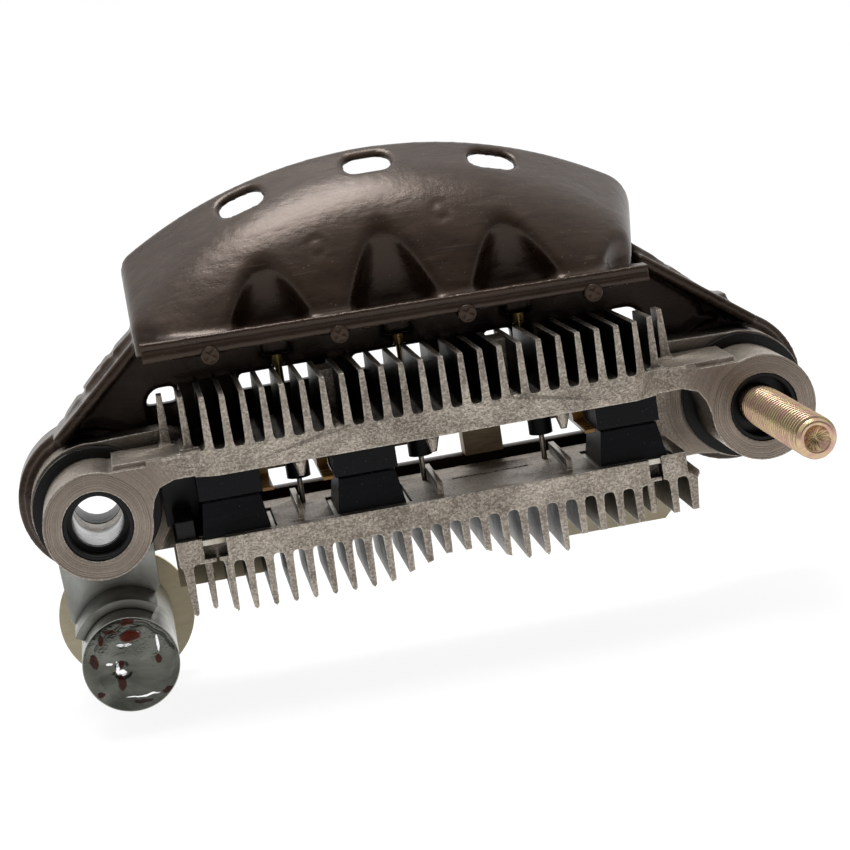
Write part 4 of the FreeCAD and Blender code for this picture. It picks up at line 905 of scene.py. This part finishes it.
def makeCapMaterial(size):
    material, tree, shader = newMaterial("solderedEnd", Specular_IOR_Level=0.2)
    place = addNode(tree, "ShaderNodeTexCoord").outputs["Object"]
    swirl = addNode(tree, "ShaderNodeTexNoise", {"Vector": place, "Scale": 500.0, "Detail": 2.0})
    shifted = scaleVector(tree, swirl.outputs["Color"], size["swirl"])
    moved = combineVectors(tree, "ADD", place, shifted)
    masks = []
    for group in (size["spots"], size["glints"]):
        mask = None
        for across, up, wide, tall in group:
            middle = ((size["x"] + across + size["drift"]) * mm, 0.0,
                      (size["z"] + up + size["drift"]) * mm)
            away = combineVectors(tree, "SUBTRACT", moved, middle)
            flat = combineVectors(tree, "MULTIPLY", away, (1 / (wide * mm), 0, 1 / (tall * mm)))
            reach = addNode(tree, "ShaderNodeVectorMath", {0: flat}, operation="LENGTH").outputs["Value"]
            spot = between(tree, reach, 1.15, 0.85)
            mask = spot if mask is None else combine(tree, "MAXIMUM", mask, spot)
        masks.append(mask)
    mask, glint = masks
    grain = useGroup(tree, castGrain, Scale=0.8)
    solder = mixColour(tree, grain.outputs["Patches"], *size["solder"])
    solder = mixColour(tree, glint, solder, size["glint"])
    varnish = mixColour(tree, grain.outputs["Patches"], *size["varnish"])
    tree.links.new(mixColour(tree, mask, solder, varnish), shader.inputs["Base Color"])
    tree.links.new(combine(tree, "SUBTRACT", 1.0, mask), shader.inputs["Metallic"])
    tree.links.new(remap(tree, grain.outputs["Patches"], *size["rough"]), shader.inputs["Roughness"])
    height = combine(tree, "ADD", combine(tree, "MULTIPLY", grain.outputs["Height"], 0.5),
                     combine(tree, "MULTIPLY", mask, 0.5))
    finishBump(tree, shader, height, 0.8, size["bump"])
    return material


def makeCapEnd(size):
    steps = size["steps"]
    angle = np.arange(steps) * 2 * math.pi / steps
    ragged = 0.83 + 0.09 * np.cos(angle - 0.4) + 0.025 * np.sin(5 * angle + 1) + 0.015 * np.sin(13 * angle)
    depths = [np.full(steps, size["front"] - 0.02), np.full(steps, size["front"] + 0.03)]
    radii = [np.full(steps, size["radius"]), np.full(steps, size["radius"] - 0.08)]
    for part in np.concatenate([[1.04, 1.0, 0.985, 0.96], np.linspace(0.93, 0.002, 40)]):
        radius = size["radius"] * ragged * part
        across, up = radius * np.cos(angle), radius * np.sin(angle)
        level = size["step"] * (part < 1.0) + (size["rise"] - size["step"]) * max(0.0, 1 - part ** 2.2)
        ripple = 0.05 * np.sin(across * 1.1 + 1) * np.sin(up * 0.9) + 0.02 * np.sin(across * 2.1 - up * 1.7)
        star = np.hypot(across + 1.3, up + 0.1)
        crater = 0.30 * np.exp(-(star / 0.75) ** 2) - 0.22 * np.exp(-((star - 1.1) / 0.35) ** 2)
        depths.append(size["front"] + 0.03 + np.clip(level + (ripple + crater) * (part < 0.97), 0, 0.89))
        radii.append(radius)
    end = turnedMesh("capacitorSolder", (size["x"], size["z"]), np.array(depths), np.array(radii),
                     makeCapMaterial(size))
    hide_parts("capacitor_end_seal")


makeCapEnd(capEnd)
print("capacitor end made")


# studio

studio = {"floorDrop": 0.00002, "floorHalf": 3.0, "floorGlow": 1.1, "floorGlowShare": 0.78,
          "worldFront": 0.10, "worldBack": 1.0, "aim": (0.05, -0.02, 0.0),
          "topPlace": (0.0, 0.1, 0.7), "topSize": 0.32, "topPower": 3.4,
          "sidePlace": (-0.6, -0.4, 0.35), "sideSize": 0.5, "sidePower": 0.12}


def makeFloor(size):
    low = cadBox[0][2] - size["floorDrop"]
    half = size["floorHalf"]
    mesh = bpy.data.meshes.new("floor")
    mesh.from_pydata([(-half, -half, low), (half, -half, low), (half, half, low), (-half, half, low)],
                     [], [(0, 1, 2, 3)])
    material = bpy.data.materials.new("paleFloor")
    material.use_nodes = True
    tree = material.node_tree
    tree.nodes.remove(tree.nodes["Principled BSDF"])
    path = addNode(tree, "ShaderNodeLightPath")
    seen = combine(tree, "MAXIMUM", path.outputs["Is Camera Ray"], path.outputs["Is Glossy Ray"])
    seen = combine(tree, "MAXIMUM", seen, path.outputs["Is Transmission Ray"])
    pale = addNode(tree, "ShaderNodeBsdfDiffuse", {"Color": (0.5, 0.5, 0.5, 1)})
    white = addNode(tree, "ShaderNodeBsdfDiffuse", {"Color": (0.9, 0.9, 0.9, 1)})
    glow = addNode(tree, "ShaderNodeEmission", {"Color": (1, 1, 1, 1), "Strength": size["floorGlow"]})
    bright = addNode(tree, "ShaderNodeMixShader", {0: size["floorGlowShare"], 1: white.outputs[0],
                                                   2: glow.outputs[0]})
    whole = addNode(tree, "ShaderNodeMixShader", {0: seen, 1: pale.outputs[0], 2: bright.outputs[0]})
    tree.links.new(whole.outputs[0], tree.nodes["Material Output"].inputs["Surface"])
    mesh.materials.append(material)
    floor = bpy.data.objects.new("floor", mesh)
    bpy.context.scene.collection.objects.link(floor)


def makeWorld(size):
    world = bpy.data.worlds.new("studio")
    bpy.context.scene.world = world
    world.use_nodes = True
    tree = world.node_tree
    tree.nodes.clear()
    path = addNode(tree, "ShaderNodeLightPath")
    way = addNode(tree, "ShaderNodeTexCoord").outputs["Generated"]
    parts = addNode(tree, "ShaderNodeSeparateXYZ", {0: way})
    lean = combine(tree, "ADD", parts.outputs["Y"], combine(tree, "MULTIPLY", parts.outputs["Z"], 0.8))
    level = addNode(tree, "ShaderNodeMapRange", {
        "Value": lean, "From Min": -0.6, "From Max": 0.9, "To Min": size["worldFront"],
        "To Max": size["worldBack"]}).outputs[0]
    light = addNode(tree, "ShaderNodeBackground", {"Color": (1, 1, 1, 1), "Strength": level})
    white = addNode(tree, "ShaderNodeBackground", {"Color": (1, 1, 1, 1), "Strength": 1.0})
    whole = addNode(tree, "ShaderNodeMixShader", {0: path.outputs["Is Camera Ray"],
                                                  1: light.outputs[0], 2: white.outputs[0]})
    output = addNode(tree, "ShaderNodeOutputWorld")
    tree.links.new(whole.outputs[0], output.inputs["Surface"])


def makeLamp(name, place, target, size, power):
    data = bpy.data.lights.new(name, "AREA")
    data.shape = "SQUARE"
    data.size = size
    data.energy = power
    lamp = bpy.data.objects.new(name, data)
    bpy.context.scene.collection.objects.link(lamp)
    lamp.rotation_euler = (Vector(target) - Vector(place)).to_track_quat("-Z", "Y").to_euler()
    lamp.location = place


makeFloor(studio)
makeWorld(studio)
makeLamp("topSoftbox", studio["topPlace"], studio["aim"], studio["topSize"], studio["topPower"])
makeLamp("sideSoftbox", studio["sidePlace"], studio["aim"], studio["sideSize"], studio["sidePower"])
bpy.context.scene.view_settings.view_transform = "Standard"
print("studio set")
